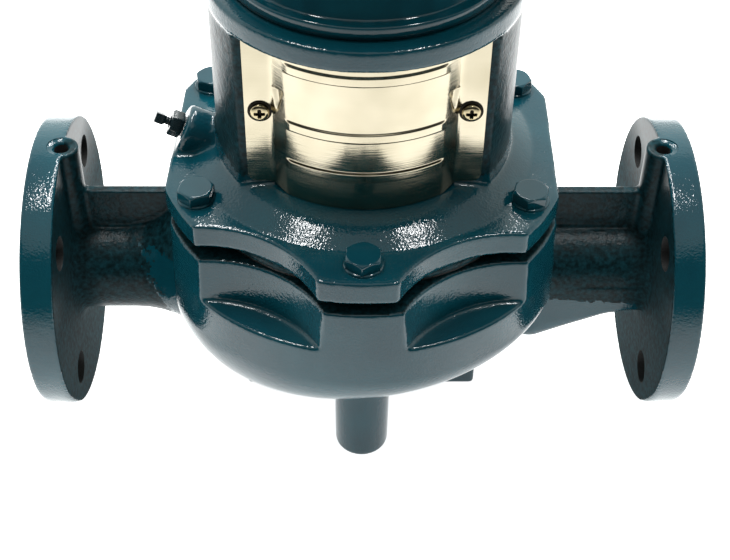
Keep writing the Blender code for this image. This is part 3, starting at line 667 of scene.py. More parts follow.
@dataclass(frozen=True)
class Dark:
    """A dark dielectric, such as moulded polyamide, nitrile rubber or black paint on brass."""

    name: str
    colour: str
    gloss: float
    grit_size: float
    grit_depth: float

    def build(self) -> Material:
        """Builds the node tree.

        Returns:
            The material.
        """
        finish = Finish(self.name, IOR=1.5, Base_Color=linear(self.colour))
        grit = finish.spots(self.grit_size, 3.0)
        finish.wear(grit, self.gloss * 0.8, self.gloss * 1.2)
        finish.relief((grit, self.grit_depth))
        return finish.material


class Finishes:
    """Every finish on the pump, built once."""

    def __init__(self) -> None:
        """Builds the materials."""
        self.enamel = CastEnamel().build()
        # The near-black coat that paints shade where the casting lies in its own shadow.
        self.shade_coat = PaintedShadeCoat().build()
        self.smooth = CastEnamel("enamel_on_machined_steel", grain_size=2.4, grain_depth=0.02,
                                 peel_depth=0.05).build()
        self.motor = CastEnamel("enamel_on_die_cast_aluminium", grain_size=2.0, grain_depth=0.03,
                                peel_depth=0.06).build()
        self.stainless = BrushedStainless().build()
        self.screw = Metal("nickel_plated_steel", "#A89C7E", 0.14).build()
        self.washer = Metal("blackened_spring_steel", "#1C1A16", 0.35).build()
        self.steel = Metal("turned_steel", "#8F9193", 0.32).build()
        # Near black: unpainted iron in the holes' walls, darkened further as painted shade deep in the holes.
        self.bare_iron_and_shade = Dark("bare_iron_with_painted_shade", "#060708", 0.6, 0.8, 0.02).build()
        self.fitting = Dark("dark_enamel_on_brass", "#0B1D22", 0.28, 1.5, 0.05).build()
        self.rubber = Dark("nitrile_rubber", "#101112", 0.7, 0.8, 0.02).build()
        self.polymer = Dark("moulded_polyamide", "#0F1011", 0.45, 0.6, 0.01).build()


@dataclass(frozen=True)
class Mould:
    """How sand casting and paint round a form: the skin's grid and how far its edges are rubbed down.

    The painted shade's border wanders by the mean of waves whose directions, in radians per millimetre, are
    ways.
    It covers faces whose amount is over a half plus wander times that mean, kept within threshold. Vertices
    whose amount is within border keep the finest faces.
    """

    cell: float
    rounds: int = 3
    soft_rounds: int = 24
    most_triangles: int = 190000
    crease: float = 50.0
    border: tuple[float, float] = (0.02, 0.98)
    wander: float = 0.8
    threshold: tuple[float, float] = (0.03, 0.97)
    ways: tuple[Triple, ...] = ((0.9, 0.3, 0.5), (-0.4, 1.1, 0.2), (0.3, -0.5, 1.3), (1.7, -1.2, 0.8),
                                (-0.9, 0.6, 2.3), (1.1, 2.2, -0.7))

    def cast(self, name: str, forms: Sequence[Item], softness: Amount) -> Item:
        """Fuses overlapping closed forms into one skin with the rounded edges and fillets of a casting.

        Args:
            name: the piece's name.
            forms: the closed forms.
            softness: gives each point, in millimetres, how much of the extra smoothing it takes, from 0 to 1.

        Returns:
            The fused piece.
        """
        whole = joined(name, forms)
        modify(whole, "REMESH", mode="VOXEL", voxel_size=self.cell * MM)
        applied(whole)
        group = whole.vertex_groups.new(name="soft")
        weights = softness(from_frame(whole.data.vertices, "co"))
        for level in np.linspace(0.1, 1, 10):
            group.add(np.flatnonzero(np.abs(weights - level) <= 0.05).tolist(), float(level), "REPLACE")
        for rounds, where in ((self.soft_rounds, group.name), (self.rounds, "")):
            modify(whole, "SMOOTH", factor=0.5, iterations=rounds, vertex_group=where)
        return applied(whole)

    def drill(self, item: Item, drills: Sequence[Item], finishes: Finishes, shade_amount: Amount) -> Item:
        """Takes the drills' space out of a cast piece, lightens its mesh, paints it and shades it smooth.

        The mesh keeps its finest faces along the borders of the painted shade.

        Args:
            item: the cast piece.
            drills: the closed forms of the holes, if any.
            finishes: the enamel, the holes' walls darkened as painted shade, and the coat of painted shade.
            shade_amount: gives each point, in millimetres, the amount of painted shade, from 0 to 1.

        Returns:
            The piece.
        """
        item.data.materials.append(finishes.enamel)
        if drills:
            tool = joined("drills", drills)
            for finish in (finishes.bare_iron_and_shade, finishes.enamel):
                tool.data.materials.append(finish)
            modify(item, "BOOLEAN", operation="DIFFERENCE", solver="EXACT", material_mode="TRANSFER",
                   object=tool)
            applied(item)
            bpy.data.objects.remove(tool, do_unlink=True)
        triangles = sum(len(face.vertices) - 2 for face in item.data.polygons)
        if triangles > self.most_triangles:
            group = item.vertex_groups.new(name="border")
            share, (low, high) = shade_amount(from_frame(item.data.vertices, "co")), self.border
            group.add(np.flatnonzero((share > low) & (share < high)).tolist(), 1.0, "REPLACE")
            modify(item, "DECIMATE", ratio=self.most_triangles / triangles, vertex_group=group.name,
                   invert_vertex_group=True)
            applied(item)
            item.vertex_groups.clear()
        self.paint_shade(item.data, finishes.shade_coat, shade_amount)
        item.data.shade_smooth()
        item.data.set_sharp_from_angle(angle=math.radians(self.crease))
        return item

    def paint_shade(self, mesh: bpy.types.Mesh, shade_coat: Material, shade_amount: Amount) -> None:
        """Paints shade onto the enamelled faces whose middle has an amount over a threshold, with the shade
        coat.

        The threshold is near a half and wanders with the waves, so borders with a gradual amount are ragged.

        Args:
            mesh: the mesh, whose first material is the enamel.
            shade_coat: the near-black material that paints the shade.
            shade_amount: gives each point, in millimetres, the amount of painted shade, from 0 to 1.
        """
        finish = np.empty(len(mesh.polygons), np.int32)
        mesh.polygons.foreach_get("material_index", finish)
        middle = from_frame(mesh.polygons, "center")
        waves = np.mean([np.sin(middle @ np.array(way)) for way in self.ways], axis=0)
        over = shade_amount(middle) > np.clip(0.5 + self.wander * waves, *self.threshold)
        # Faces over the threshold get the near-black coat: painted shade.
        finish[over & (finish == 0)] = len(mesh.materials)
        mesh.materials.append(shade_coat)
        mesh.polygons.foreach_set("material_index", finish)


def install(piece: Item, finish: Material, slot: Slot, *nodes: str) -> None:
    """Gives a new piece its finish, and lets it ride on the pump.

    Args:
        piece: the new piece.
        finish: its material, unless it has its own already.
        slot: the record's material slot; not used.
        nodes: the nodes of the frame that it stands for.
    """
    if not piece.data.materials:
        piece.data.materials.append(finish)
    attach(piece, "root")
    if nodes:
        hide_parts(*nodes)
    LOG.info("%s: %d faces", piece.name, len(piece.data.polygons))


def fit(name: str, points: np.ndarray, finish: Material, slot: Slot, *nodes: str, wrap_rows: bool = False,
        crease: float = 40.0) -> None:
    """Makes a piece of a grid of points and installs it, with the arguments of surface and install."""
    install(surface(name, points, wrap_rows, crease=crease), finish, slot, *nodes)


@dataclass
class Outline:
    """The scalloped bolting outline that the casing and its cover share, seen from above."""

    turn: float
    radius: float = 111.3
    oval: float = 1.4
    half_width: float = 101.5
    scallop_distance: float = 160.0
    scallop_radius: float = 65.5
    scallop_angles: tuple[float, ...] = (60.55, 119.45, 240.55, 299.45)

    def reach(self, count: int = 1080) -> np.ndarray:
        """Gives the outline's distance from the axis.

        It is the smallest of a slightly oval rim, R - o cos 2a, the straight sides' half width over the
        angle's cosine, and the near side of each scallop's circle: D cos a - sqrt(R^2 - (D sin a)^2).

        Args:
            count: how many steps of angle it gets.

        Returns:
            The distance in even steps of angle.
        """
        angle = circle(count) - math.radians(self.turn)
        reach = np.minimum(self.radius - self.oval * np.cos(2 * angle),
                           self.half_width / np.maximum(np.abs(np.cos(angle)), 1e-6))
        for centre in self.scallop_angles:
            off = angle - math.radians(centre)
            across = self.scallop_distance * np.sin(off)
            inside = (np.cos(off) > 0) & (np.abs(across) < self.scallop_radius)
            chord = np.sqrt(np.maximum(self.scallop_radius ** 2 - across ** 2, 0))
            reach = np.where(inside, np.minimum(reach, self.scallop_distance * np.cos(off) - chord), reach)
        return reach


@dataclass
class PumpCasing:
    """The casing: drum and bowl, scalloped bolting rim, two flanged necks with ribs, and four feet.

    flare holds the (distance, radius, lift) of the suction neck's widening, and keel the (distance, half
    width, bottom) of the discharge neck's lower half.
    """

    mould: Mould = Mould(cell=1.0, rounds=2)
    drum_radius: float = 113.0
    drum_half_width: float = 101.5
    drum_bottom: float = 18.0
    outline_turn: float = -0.4
    wall_lean: float = 2.7
    ledge: float = 40.0
    top: float = 66.0
    bowl_depth: float = 59.5
    bowl_tilt: float = 0.258
    bowl_swell: float = 0.00106
    bowl_fullness: float = 1.92
    neck_radius: float = 27.6
    neck_start: float = 60.0
    port_face: float = 180.0
    flange_radius: float = 82.5
    flange_thickness: float = 17.2
    raised_face: float = 1.2
    raised_face_radius: float = 51.0
    hole_circle: float = 62.5
    hole_angles: tuple[float, ...] = (45, 135, 225, 315)
    hole_radius: float = 9.5
    bore_radius: float = 22.0
    bore_mouth: float = 25.0
    bore_end: float = 30.0
    gauge_x: float = 163.0
    gauge_boss_radius: float = 9.5
    gauge_hole_radius: float = 3.9
    gauge_hole_depth: float = 29.0
    spot_face_radius: float = 7.6
    rib_half: float = 3.0
    rib_bottom: float = 20.0
    rib_top: float = 52.8
    rib_ends: tuple[float, float] = (80, 168)
    floor: float = -90.0
    round_foot_y: float = 57.5
    round_foot_radius: float = 15.2
    square_foot_x: float = 53.5
    square_foot_half: float = 16.0
    flare: tuple[Triple, ...] = ((86, 40.0, 6.0), (94, 40.0, 6.0), (102, 38.0, 5.5), (108, 34.5, 4.2),
                                 (114, 31.0, 2.0), (122, 28.5, 0.7), (134, 27.4, 0))
    keel: tuple[Triple, ...] = ((56, 11.0, -44.0), (80, 20.0, -47.0), (100, 27.4, -42.0), (124, 28.3, -29.0),
                                (139, 28.3, -21.5), (151, 28.3, -18.5), (166, 28.3, -18.0))

    @property
    def flange_front(self) -> float:
        """Where the flanges' rims end, under the raised faces."""
        return self.port_face - self.raised_face

    @property
    def flange_back(self) -> float:
        """Where the flanges' backs stand."""
        return self.flange_front - self.flange_thickness

    def build(self, finishes: Finishes) -> None:
        """Casts, drills and paints the casing.

        Args:
            finishes: the pump's finishes.
        """
        forms = [self.body(), self.suction_flare(), self.fairing()]
        for side in Side:
            forms += [self.neck(side), self.flange(side), self.gauge_boss(side), self.rib(side)]
            forms += [self.round_foot(side), self.square_foot(side)]
        casing = self.mould.cast("casing_casting", forms, self.softness)
        casing = self.mould.drill(casing, self.drills(), finishes, self.painted_shade)
        install(casing, finishes.enamel, Slot.CASTING, "pump_casing")

    def body(self) -> Item:
        """Rim, ledge, drum and bowl in one skin, from the middle of the roof to the middle of the bowl.

        The rim's wall leans out downwards as far as the drum. The bowl's depth at a share s of the drum's
        reach is (depth - tilt x + swell x^2) (1 - s^p)^(1/p).

        Returns:
            The closed form.
        """
        count = 1080
        angle = circle(count)
        drum = np.minimum(self.drum_radius, self.drum_half_width / np.maximum(np.abs(np.cos(angle)), 1e-6))
        rim = np.minimum(Outline(self.outline_turn).reach(count), drum)
        foot = np.minimum(rim + self.wall_lean, drum)
        sections = [rounded([(0, self.top, 0), (near, self.top, 1.2), (far, self.ledge, 2.0),
                             (edge, self.ledge, 1.0), (edge, self.drum_bottom, 0)], 3)
                    for near, far, edge in zip(rim, foot, drum)]
        upper = np.array(sections).transpose(1, 0, 2)
        share = np.cos(np.linspace(0, math.pi / 2, 48))[1:, None]
        x = drum * share * np.cos(angle)
        middle = self.bowl_depth - self.bowl_tilt * x + self.bowl_swell * x ** 2
        drop = middle * np.maximum(1 - share ** self.bowl_fullness, 0) ** (1 / self.bowl_fullness)
        reach = np.concatenate([upper[..., 0], drum * share])
        return surface("body", round_axis(reach, np.concatenate([upper[..., 1], self.drum_bottom - drop])))

    @staticmethod
    def side_turned(name: str, side: Side, profile: np.ndarray, count: int = 144) -> Item:
        """A (radius, distance along X) profile turned about the ports' centre line."""
        return surface(name, along(turned(profile, count), (side.value, 0, 0), (0, 0, 0)))

    def neck(self, side: Side) -> Item:
        """The straight neck, with the fillet that widens it into the flange's back.

        Args:
            side: the side of the pump that it is on.

        Returns:
            The closed form.
        """
        back, near, far = self.flange_back, self.neck_radius, self.neck_radius + 10
        profile = rounded([(0, self.neck_start, 0), (near, self.neck_start, 0), (near, back - 1.5, 9),
                           (far, back + 0.5, 3), (far, back + 4, 0), (0, back + 4, 0)], 6)
        return self.side_turned("neck", side, profile)

    def flange(self, side: Side) -> Item:
        """The port flange with its raised face.

        Args:
            side: the side of the pump that it is on.

        Returns:
            The closed form.
        """
        rim, back = self.flange_front, self.flange_back
        profile = rounded([(0, back, 0), (self.flange_radius, back, 0.8), (self.flange_radius, rim, 1.2),
                           (self.raised_face_radius, rim, 0.3),
                           (self.raised_face_radius - 0.5, self.port_face, 0.3), (0, self.port_face, 0)])
        return self.side_turned("flange", side, profile, 216)

    def gauge_boss(self, side: Side) -> Item:
        """The half-round boss up the flange's back that carries the gauge port.

        Args:
            side: the side of the pump that it is on.

        Returns:
            The closed form.
        """
        radius, top = self.gauge_boss_radius, self.flange_radius - 0.6
        profile = rounded([(0, 0, 0), (radius, 0, 0), (radius, top, 0.6), (0, top, 0)])
        return surface("boss", along(turned(profile, 48), (0, 0, 1), (side.value * self.gauge_x, 0, 0)))

    def rib(self, side: Side) -> Item:
        """The upright rib along the neck's top.

        Args:
            side: the side of the pump that it is on.

        Returns:
            The closed form.
        """
        low, high = sorted(side.value * end for end in self.rib_ends)
        form = block((low, -self.rib_half, self.rib_bottom), (high, self.rib_half, self.rib_top), 0.8)
        return surface("rib", form)

    @staticmethod
    def filled(stations: Sequence[Triple], count: int) -> list[np.ndarray]:
        """Fills in even steps along X between stations, and gives each of their three values as a column.

        Args:
            stations: rows of (x, value, value), in order of x.
            count: how many steps to fill in.

        Returns:
            The steps along X and the two values, each as a column.
        """
        x, size, height = np.array(stations, float).T
        steps = np.linspace(x[0], x[-1], count)
        return [column[:, None] for column in (steps, np.interp(steps, x, size), np.interp(steps, x, height))]

    def suction_flare(self) -> Item:
        """The suction neck's widening: circles that grow and rise as they enter the drum.

        Returns:
            The closed form.
        """
        x, radius, lift = self.filled(self.flare, 40)
        angle = circle(96)
        return surface("flare", lofted(grid(-x, radius * np.cos(angle), radius * np.sin(angle) + lift)))

    def fairing(self) -> Item:
        """The discharge neck's straight-sided lower half, whose keel sinks towards the right foot.

        Returns:
            The closed form.
        """
        x, half, bottom = self.filled(self.keel, 36)
        shape, top = rounded([(1, 0, 0), (1, 1, 0.34), (-1, 1, 0.34), (-1, 0, 0)], 6), 2
        return surface("fairing", lofted(grid(x, half * shape[:, 0], top - (top - bottom) * shape[:, 1])))

    def round_foot(self, side: Side) -> Item:
        """The tapered round foot under the front or the back of the bowl.

        Args:
            side: the side of the pump that it is on.

        Returns:
            The closed form.
        """
        profile = rounded([(0, self.floor, 0), (self.round_foot_radius, self.floor, 2.5),
                           (self.round_foot_radius + 1, 0, 0), (0, 0, 0)])
        return surface("foot", turned(profile, 72) + (0, side.value * self.round_foot_y, 0))

    def square_foot(self, side: Side) -> Item:
        """The square foot under one side of the bowl."""
        foot = extruded(polygon_reach(4, 2 * self.square_foot_half, 14), slab_profile(self.floor, 0, 2.0))
        return surface("foot", foot + (side.value * self.square_foot_x, 0, 0))

    def drills(self) -> list[Item]:
        """The drills of the flange holes, the gauge ports and the two bores.

        Returns:
            The drills, as closed forms.
        """
        tools, beyond = [], self.port_face + 5
        bore = rounded([(0, self.bore_end, 0), (self.bore_radius, self.bore_end, 0),
                        (self.bore_radius, self.port_face - 18, 4), (self.bore_mouth, self.port_face, 0),
                        (self.bore_mouth, beyond, 0), (0, beyond, 0)])
        hole = np.array([(0, 150), (self.hole_radius, 150), (self.hole_radius, 190), (0, 190)], float)
        for side in Side:
            tools.append(self.side_turned("bore", side, bore, 96))
            for angle in self.hole_angles:
                drill = along(turned(hole, 48), (side.value, 0, 0), (0, *polar(self.hole_circle, angle)))
                tools.append(surface("hole", drill))
            tools.append(self.gauge_port(side))
        return tools

    def gauge_port(self, side: Side) -> Item:
        """The drill of a gauge port: a bore with near-black walls of painted shade, a narrow countersink and
        a spot face in enamel.

        Args:
            side: the side of the pump that it is on.

        Returns:
            The drill, as a closed form.
        """
        hole, spot, top = self.gauge_hole_radius, self.spot_face_radius, self.flange_radius - 0.9
        bottom, sunk = top - self.gauge_hole_depth, top - 1.6
        profile = np.array([(0, bottom), (hole, bottom), (hole, sunk), (hole + 0.9, top - 0.6),
                            (hole + 1.6, top), (spot - 0.4, top), (spot, top + 0.4), (spot, top + 5),
                            (0, top + 5)])
        drill = surface("port", turned(profile, 64) + (side.value * self.gauge_x, 0, 0))
        painted = from_frame(drill.data.polygons, "center")[:, 2] > sunk
        drill.data.polygons.foreach_set("material_index", painted)
        return drill

    def softness(self, points: np.ndarray) -> np.ndarray:
        """Where the casting's fillets are large: round the roots of the necks, ribs and feet.

        Args:
            points: places in drawing millimetres, (n, 3).

        Returns:
            How much of the extra smoothing each place takes, from 0 to 1.
        """
        x, y, z = points.T
        reach = np.hypot(x, y)
        root = rising(reach, 88, 100) * falling(reach, 122, 132)
        neck = root * falling(np.abs(y), 34, 46) * falling(z, 24, 34)
        return np.maximum(neck, 0.7 * falling(z, -44, -24) * rising(z, -66, -52))

    def painted_shade(self, points: np.ndarray) -> np.ndarray:
        """Where shade is painted: on the necks, the flanges' backs and the roof under the cover, which lie in
        the casing's own shade.

        Args:
            points: places in drawing millimetres, (n, 3).

        Returns:
            The amount of painted shade at each place, from 0 to 1.
        """
        x, y, z = points.T
        distance, back = np.abs(x), self.flange_back
        inside = np.hypot(y, z) < self.flange_radius - 0.4
        neck = rising(distance, 102, 104) * (distance < back + 0.4) * inside
        flare = (x < 0) * falling(distance - 0.35 * z, 107, 119) * falling(z, 24, 27)
        fairing = (x > 0) * falling(z + 0.06 * distance, -1, 2) * falling(distance, back - 6, back - 3)
        roof = (z > self.top - 0.3) & (np.hypot(x, y) < 116)
        return np.maximum(neck * (1 - np.maximum(flare, fairing)), roof)


@dataclass
class LanternCover:
    """The casting that closes the casing and carries the motor: plate, cone, two columns and a top flange."""

    mould: Mould = Mould(cell=1.2)
    bottom: float = 73.3
    top: float = 87.0
    register_radius: float = 93.5
    register_bottom: float = 68.0
    cone_outer: float = 91.0
    cone_inner: float = 75.0
    lantern_floor: float = 95.0
    lantern_top: float = 184.2
    column_outer: float = 77.8
    column_inner: float = 62.5
    column_face: float = 46.6
    flange_top: float = 196.0
    flange_radius: float = 79.2
    flange_bore: float = 55.0
    hub_radius: float = 34.0
    hub_top: float = 118.0
    hub_bore: float = 13.0
    outline_turn: float = -1.9
    boss_half: float = 12.8
    boss_length: float = 24.0

    def build(self, finishes: Finishes) -> None:
        """Casts and paints the cover.

        Args:
            finishes: the pump's finishes.
        """
        forms = [self.plate(), self.floor(), self.column(Side.SUCTION), self.column(Side.DISCHARGE),
                 self.top_flange(), self.vent_boss(), self.vent_skirt()]
        cover = self.mould.cast("cover_casting", forms, self.softness)
        cover = self.mould.drill(cover, [], finishes, self.painted_shade)
        install(cover, finishes.enamel, Slot.CASTING, "lantern_cover")

    def plate(self) -> Item:
        """The scalloped plate."""
        profile = slab_profile(self.bottom, self.top, 1.0)
        return surface("plate", extruded(Outline(self.outline_turn).reach(), profile))

    def floor(self) -> Item:
        """The register below the plate, the cone above it and the seal's hub, round the shaft's way.

        Returns:
            The closed form.
        """
        profile = rounded([(self.hub_bore, self.register_bottom, 0),
                           (self.register_radius, self.register_bottom, 0.5),
                           (self.register_radius, self.top - 2, 0), (self.cone_outer, self.top, 8),
                           (self.cone_inner, self.lantern_floor, 8), (self.hub_radius, self.lantern_floor, 4),
                           (self.hub_radius, self.hub_top, 1.5), (self.hub_bore, self.hub_top, 1)],
                          6, closed=True)
        return surface("floor", turned(profile, 360), wrap_rows=True)

    def column(self, side: Side) -> Item:
        """One column: the sector between two circles, cut flat at the front and the back, drawn upwards.

        Args:
            side: the side of the pump that it is on.

        Returns:
            The closed form.
        """
        outer = math.asin(self.column_face / self.column_outer)
        inner = math.asin(self.column_face / self.column_inner)
        out, back = np.linspace(-outer, outer, 60), np.linspace(inner, -inner, 60)
        x = np.concatenate([self.column_outer * np.cos(out), self.column_inner * np.cos(back)]) * side.value
        y = np.concatenate([self.column_outer * np.sin(out), self.column_inner * np.sin(back)])
        z = np.linspace(self.lantern_floor - 6, self.lantern_top + 4, 12)
        return surface("column", lofted(grid(x, y, z[:, None])))

    def top_flange(self) -> Item:
        """The ring that carries the motor.

        Returns:
            The closed form.
        """
        bore, edge, low, high = self.flange_bore, self.flange_radius, self.lantern_top, self.flange_top
        profile = rounded([(bore, low, 1), (edge, low, 1.4), (edge, high, 1.4), (bore, high, 1)],
                          4, closed=True)
        return surface("top_flange", turned(profile, 360), wrap_rows=True)

    def vent_boss(self) -> Item:
        """The round boss on the left column that carries the air vent, along the vent's axis.

        Returns:
            The closed form.
        """
        profile = rounded([(0, -self.boss_length, 0), (self.boss_half, -self.boss_length, 0),
                           (self.boss_half, 0, 2.2), (0, 0, 0)], 6)
        return surface("vent_boss", AirVent().placed(turned(profile, 120)))

    def vent_skirt(self) -> Item:
        """The straight walls under the round boss, down to the plate.

        Returns:
            The closed form.
        """
        vent = AirVent()
        seat, direction = np.array(vent.seat), np.array(vent.direction)
        slope = np.array([math.tan(math.radians(vent.tilt)), 0, 1])
        foot = seat + slope * (self.top - 2 - seat[2])
        back = seat - direction * self.boss_length
        x, _, z = np.array([foot, (back[0], 0, foot[2]), back, seat]).T
        y = np.linspace(-self.boss_half, self.boss_half, 6)
        return surface("vent_skirt", lofted(grid(x, y[:, None], z)))

    def softness(self, points: np.ndarray) -> np.ndarray:
        """Where the fillets are large: at the columns' feet and heads, and round the vent's boss.

        Args:
            points: places in drawing millimetres, (n, 3).

        Returns:
            How much of the extra smoothing each place takes, from 0 to 1.
        """
        x, y, z = points.T
        ends = np.maximum(rising(z, 90, 94) * falling(z, 98, 106), rising(z, 174, 181) * falling(z, 184, 187))
        boss = (x < -68) & (np.abs(y) < 24) & (z > 88)
        return np.maximum(0.6 * (falling(np.hypot(x, y), 80, 86) * ends), np.where(boss, 0.5, 0.0))

    def painted_shade(self, points: np.ndarray) -> np.ndarray:
        """Where shade is painted: inside the lantern, on the columns and under the plate, which lie in shade.

        Args:
            points: places in drawing millimetres, (n, 3).

        Returns:
            The amount of painted shade at each place, from 0 to 1.
        """
        x, y, z = points.T
        height = rising(z, 96, 104) * falling(z, 182, 186)
        return np.maximum((np.hypot(x, y) < 79) * height, z < self.bottom + 0.3)


@dataclass
class CoverBolts:
    """The six hexagon bolts round the cover, painted over with the pump."""

    circle: float = 98.3
    angles: tuple[float, ...] = (269.4, 209.4, 149.4, 89.4, 29.4, 329.4)
    turns: tuple[float, ...] = (25, 18, 40, 5, 50, 15)
    across_flats: float = 17.0
    disc: float = 16.5
    chamfer: float = 30.0
    height: float = 6.9
    seat: float = 87.1
    sharpness: float = 90.0
    collar: float = 9.9

    def build(self, finishes: Finishes) -> None:
        """Builds and paints each head.

        Args:
            finishes: the pump's finishes.
        """
        for number, (angle, turn) in enumerate(zip(self.angles, self.turns), 1):
            head = self.head(turn) + (*polar(self.circle, angle), self.seat)
            fit(f"bolt_head_{number}", head, finishes.smooth, Slot.CASTING, f"cover_bolt_{number}", crease=60)

    def head(self, turn: float) -> np.ndarray:
        """A hexagon head with a flat disc for its top and a collar of paint at its foot.

        The radius is the smaller of the hexagon's reach and a cone that narrows upwards to the disc, by a
        norm of -40 that rounds the edge between them.

        Args:
            turn: how far the hexagon is turned, in degrees.

        Returns:
            The grid of points.
        """
        top, norm = self.height, 40
        reach = polygon_reach(6, self.across_flats, self.sharpness, turn + 30, 240)
        rise = np.concatenate([[0, 0, 0.5, 0.8, 0.95], np.linspace(1.0, top - 0.4, 14),
                               [top - 0.2, top - 0.05, top, top, top]])[:, None]
        cone = self.disc / 2 + (top - rise) / math.tan(math.radians(self.chamfer))
        radius = (reach[None, :] ** -norm + cone ** -norm) ** (-1 / norm)
        collar = self.collar - 0.5 * rising(rise, 0.5, 1.0)
        radius = np.where(rise < 0.98, np.maximum(radius, collar), radius)
        radius[[0, -1]] = 0
        radius[-2] *= 0.95
        return round_axis(radius, rise)


@dataclass(frozen=True)
class PanScrew:
    """A pan-head screw with a cross recess."""

    radius: float
    height: float
    recess: float

    def head(self) -> np.ndarray:
        """The head along Z from a flat seat at 0, closed underneath.

        Its top is a dome less the cross recess: the recess's depth falls off with the distance from two
        slots, and with the distance from the middle.

        Returns:
            The grid of points.
        """
        share = np.linspace(1, 0, 26)[:, None]
        dome = self.height * (0.35 + 0.65 * np.sqrt(np.maximum(1 - share ** 3.2, 0)))
        head = turned(np.hstack([self.radius * share, dome]))
        arm = self.radius * 0.16
        slot = falling(np.abs(head[..., :2]).min(axis=-1), 0.55 * arm, 1.25 * arm)
        fade = falling(share * self.radius, 0.34 * self.radius, 0.62 * self.radius)
        head[..., 2] -= slot * (self.recess * fade)
        return np.concatenate([turned(np.array([(0, 0), (self.radius, 0)])), head])


@dataclass
class CouplingGuards:
    """The two pressed stainless guards between the columns, with their screws and washers."""

    thickness: float = 1.0
    crease: float = 50.0
    bottom: float = 95.4
    strip_bottom: float = 97.8
    strip_corner: float = 5.0
    top: float = 183.6
    strip_outer: float = 58.7
    strip_inner: float = 45.5
    face: float = 46.9
    band_radius: float = 67.4
    band_half_angle: float = 35.0
    beads: tuple[float, ...] = (172.0, 139.2, 115.6)
    bead_height: float = 6.4
    bead_rise: float = 0.9
    bead_flank: float = 0.58
    dart_low: float = 143.0
    dart_high: float = 157.0
    dart_middle: float = 42.7
    dart_depth: float = 1.6
    screw_x: float = 51.2
    screw_z: float = 141.5
    screw_head: PanScrew = PanScrew(4.7, 2.5, 2.3)
    washer_radius: float = 6.0
    washer_height: float = 0.6
    # The faces deep in the cross recess are painted black as shade: their reach and depths.
    black_radius: float = 2.9
    black_heights: tuple[float, float] = (0.3, 2.35)

    def build(self, finishes: Finishes) -> None:
        """Presses both guards and screws them on.

        Args:
            finishes: the pump's finishes.
        """
        number = 0
        for name, sign in (("front_guard", -1), ("rear_guard", 1)):
            guard = surface(f"{name}_sheet", self.sheet(sign), wrap_rows=True, wrap_columns=False,
                            crease=self.crease)
            install(self.close_ends(guard), finishes.stainless, Slot.STAINLESS, name)
            for side in (-1, 1):
                number += 1
                self.screw(number, side, sign, finishes)

    @property
    def band_edge(self) -> float:
        """How far from the middle the band meets the web."""
        return self.band_radius * math.sin(math.radians(self.band_half_angle))

    def path(self) -> np.ndarray:
        """The sheet's line from above: strip, web, band, web and strip, with pressed bends between them.

        Returns:
            The line's points, (n, 2).
        """
        half = math.radians(self.band_half_angle)
        middle = self.band_radius - self.thickness / 2
        arc = np.linspace(-half, half, 41)
        band = [(middle * math.sin(turn), middle * math.cos(turn), 0.0) for turn in arc]
        band[0], band[-1] = (*band[0][:2], 1.8), (*band[-1][:2], 1.8)
        strip = self.face + self.thickness / 2
        left = [(-self.strip_outer, strip, 0), (-self.strip_inner, strip, 2.2)]
        right = [(self.strip_inner, strip, 2.2), (self.strip_outer, strip, 0)]
        return evenly(rounded(left + band + right, 4), 0.8)

    def heights(self) -> np.ndarray:
        """The heights of the sheet's rows, closer together in the beads.

        Returns:
            The heights, from the lowest.
        """
        near = self.bead_height * 0.6
        fine = [np.linspace(bead - near, bead + near, 41) for bead in self.beads]
        dart = np.linspace(self.dart_low - 1, self.dart_high + 1, 24)
        plain = np.linspace(self.bottom, self.top, 24)
        return np.unique(np.concatenate([plain, dart, *fine]).clip(self.bottom, self.top).round(3))

    def lower_edge(self, distance: np.ndarray) -> np.ndarray:
        """The lower edge at each distance from the middle: the strips end higher, with round corners.

        Args:
            distance: distances from the middle of the guard.

        Returns:
            The height of the edge at each distance.
        """
        level = np.interp(distance, (self.band_edge, self.strip_inner), (self.bottom, self.strip_bottom))
        into = np.clip(distance - self.strip_outer + self.strip_corner, 0, self.strip_corner)
        return level + self.strip_corner - np.sqrt(self.strip_corner ** 2 - into ** 2)

    def dart(self, distance: np.ndarray, height: np.ndarray) -> np.ndarray:
        """How much of the dart's depth each point gets: a V pressed into the web, open at its top.

        Args:
            distance: distances from the middle of the guard.
            height: heights, in a column.

        Returns:
            The share of its depth at each point, from 0 to 1.
        """
        rise = (height - self.dart_low) / (self.dart_high - self.dart_low)
        outer, inner = self.dart_middle + 1.9 * rise, self.dart_middle - 3.8 * rise
        depth = np.minimum(np.minimum(outer - distance, distance - inner), self.dart_high - height)
        return rising(depth, 0, 1.2)

    def sheet(self, sign: int) -> np.ndarray:
        """Both faces of the sheet as one loop of rows: the outer face downwards, then the inner face upwards.

        Each face is the path moved half the thickness along its normal, and the band also by each bead's
        rise: a flat-topped ridge with steep flanks.

        Args:
            sign: -1 for the front guard and 1 for the rear one.

        Returns:
            The grid of points, with its rows in a loop.
        """
        path = self.path()
        run = np.gradient(path, axis=0)
        normal = np.stack([-run[:, 1], run[:, 0]], -1)
        normal /= np.maximum(np.linalg.norm(normal, axis=1), 1e-9)[:, None]
        height = self.heights()[::-1]
        bump = np.zeros_like(height)
        for bead in self.beads:
            off = np.clip(np.abs(height - bead) / (self.bead_height / 2), 0, 1)
            bump += self.bead_rise * falling(off, self.bead_flank, 1.0)
        distance = np.abs(path[None, :, 0])
        on_band = falling(distance, self.band_edge - 3.0, self.band_edge + 0.5)
        faces = []
        for offset, rows in ((self.thickness / 2, slice(None)), (-self.thickness / 2, slice(None, None, -1))):
            level = height[rows][:, None]
            push = bump[rows][:, None] * on_band + offset - self.dart_depth * self.dart(distance, level)
            x, y = (path[:, axis] + normal[:, axis] * push for axis in (0, 1))
            faces.append(grid(x, sign * y, np.maximum(level, self.lower_edge(distance))))
        return np.concatenate(faces)

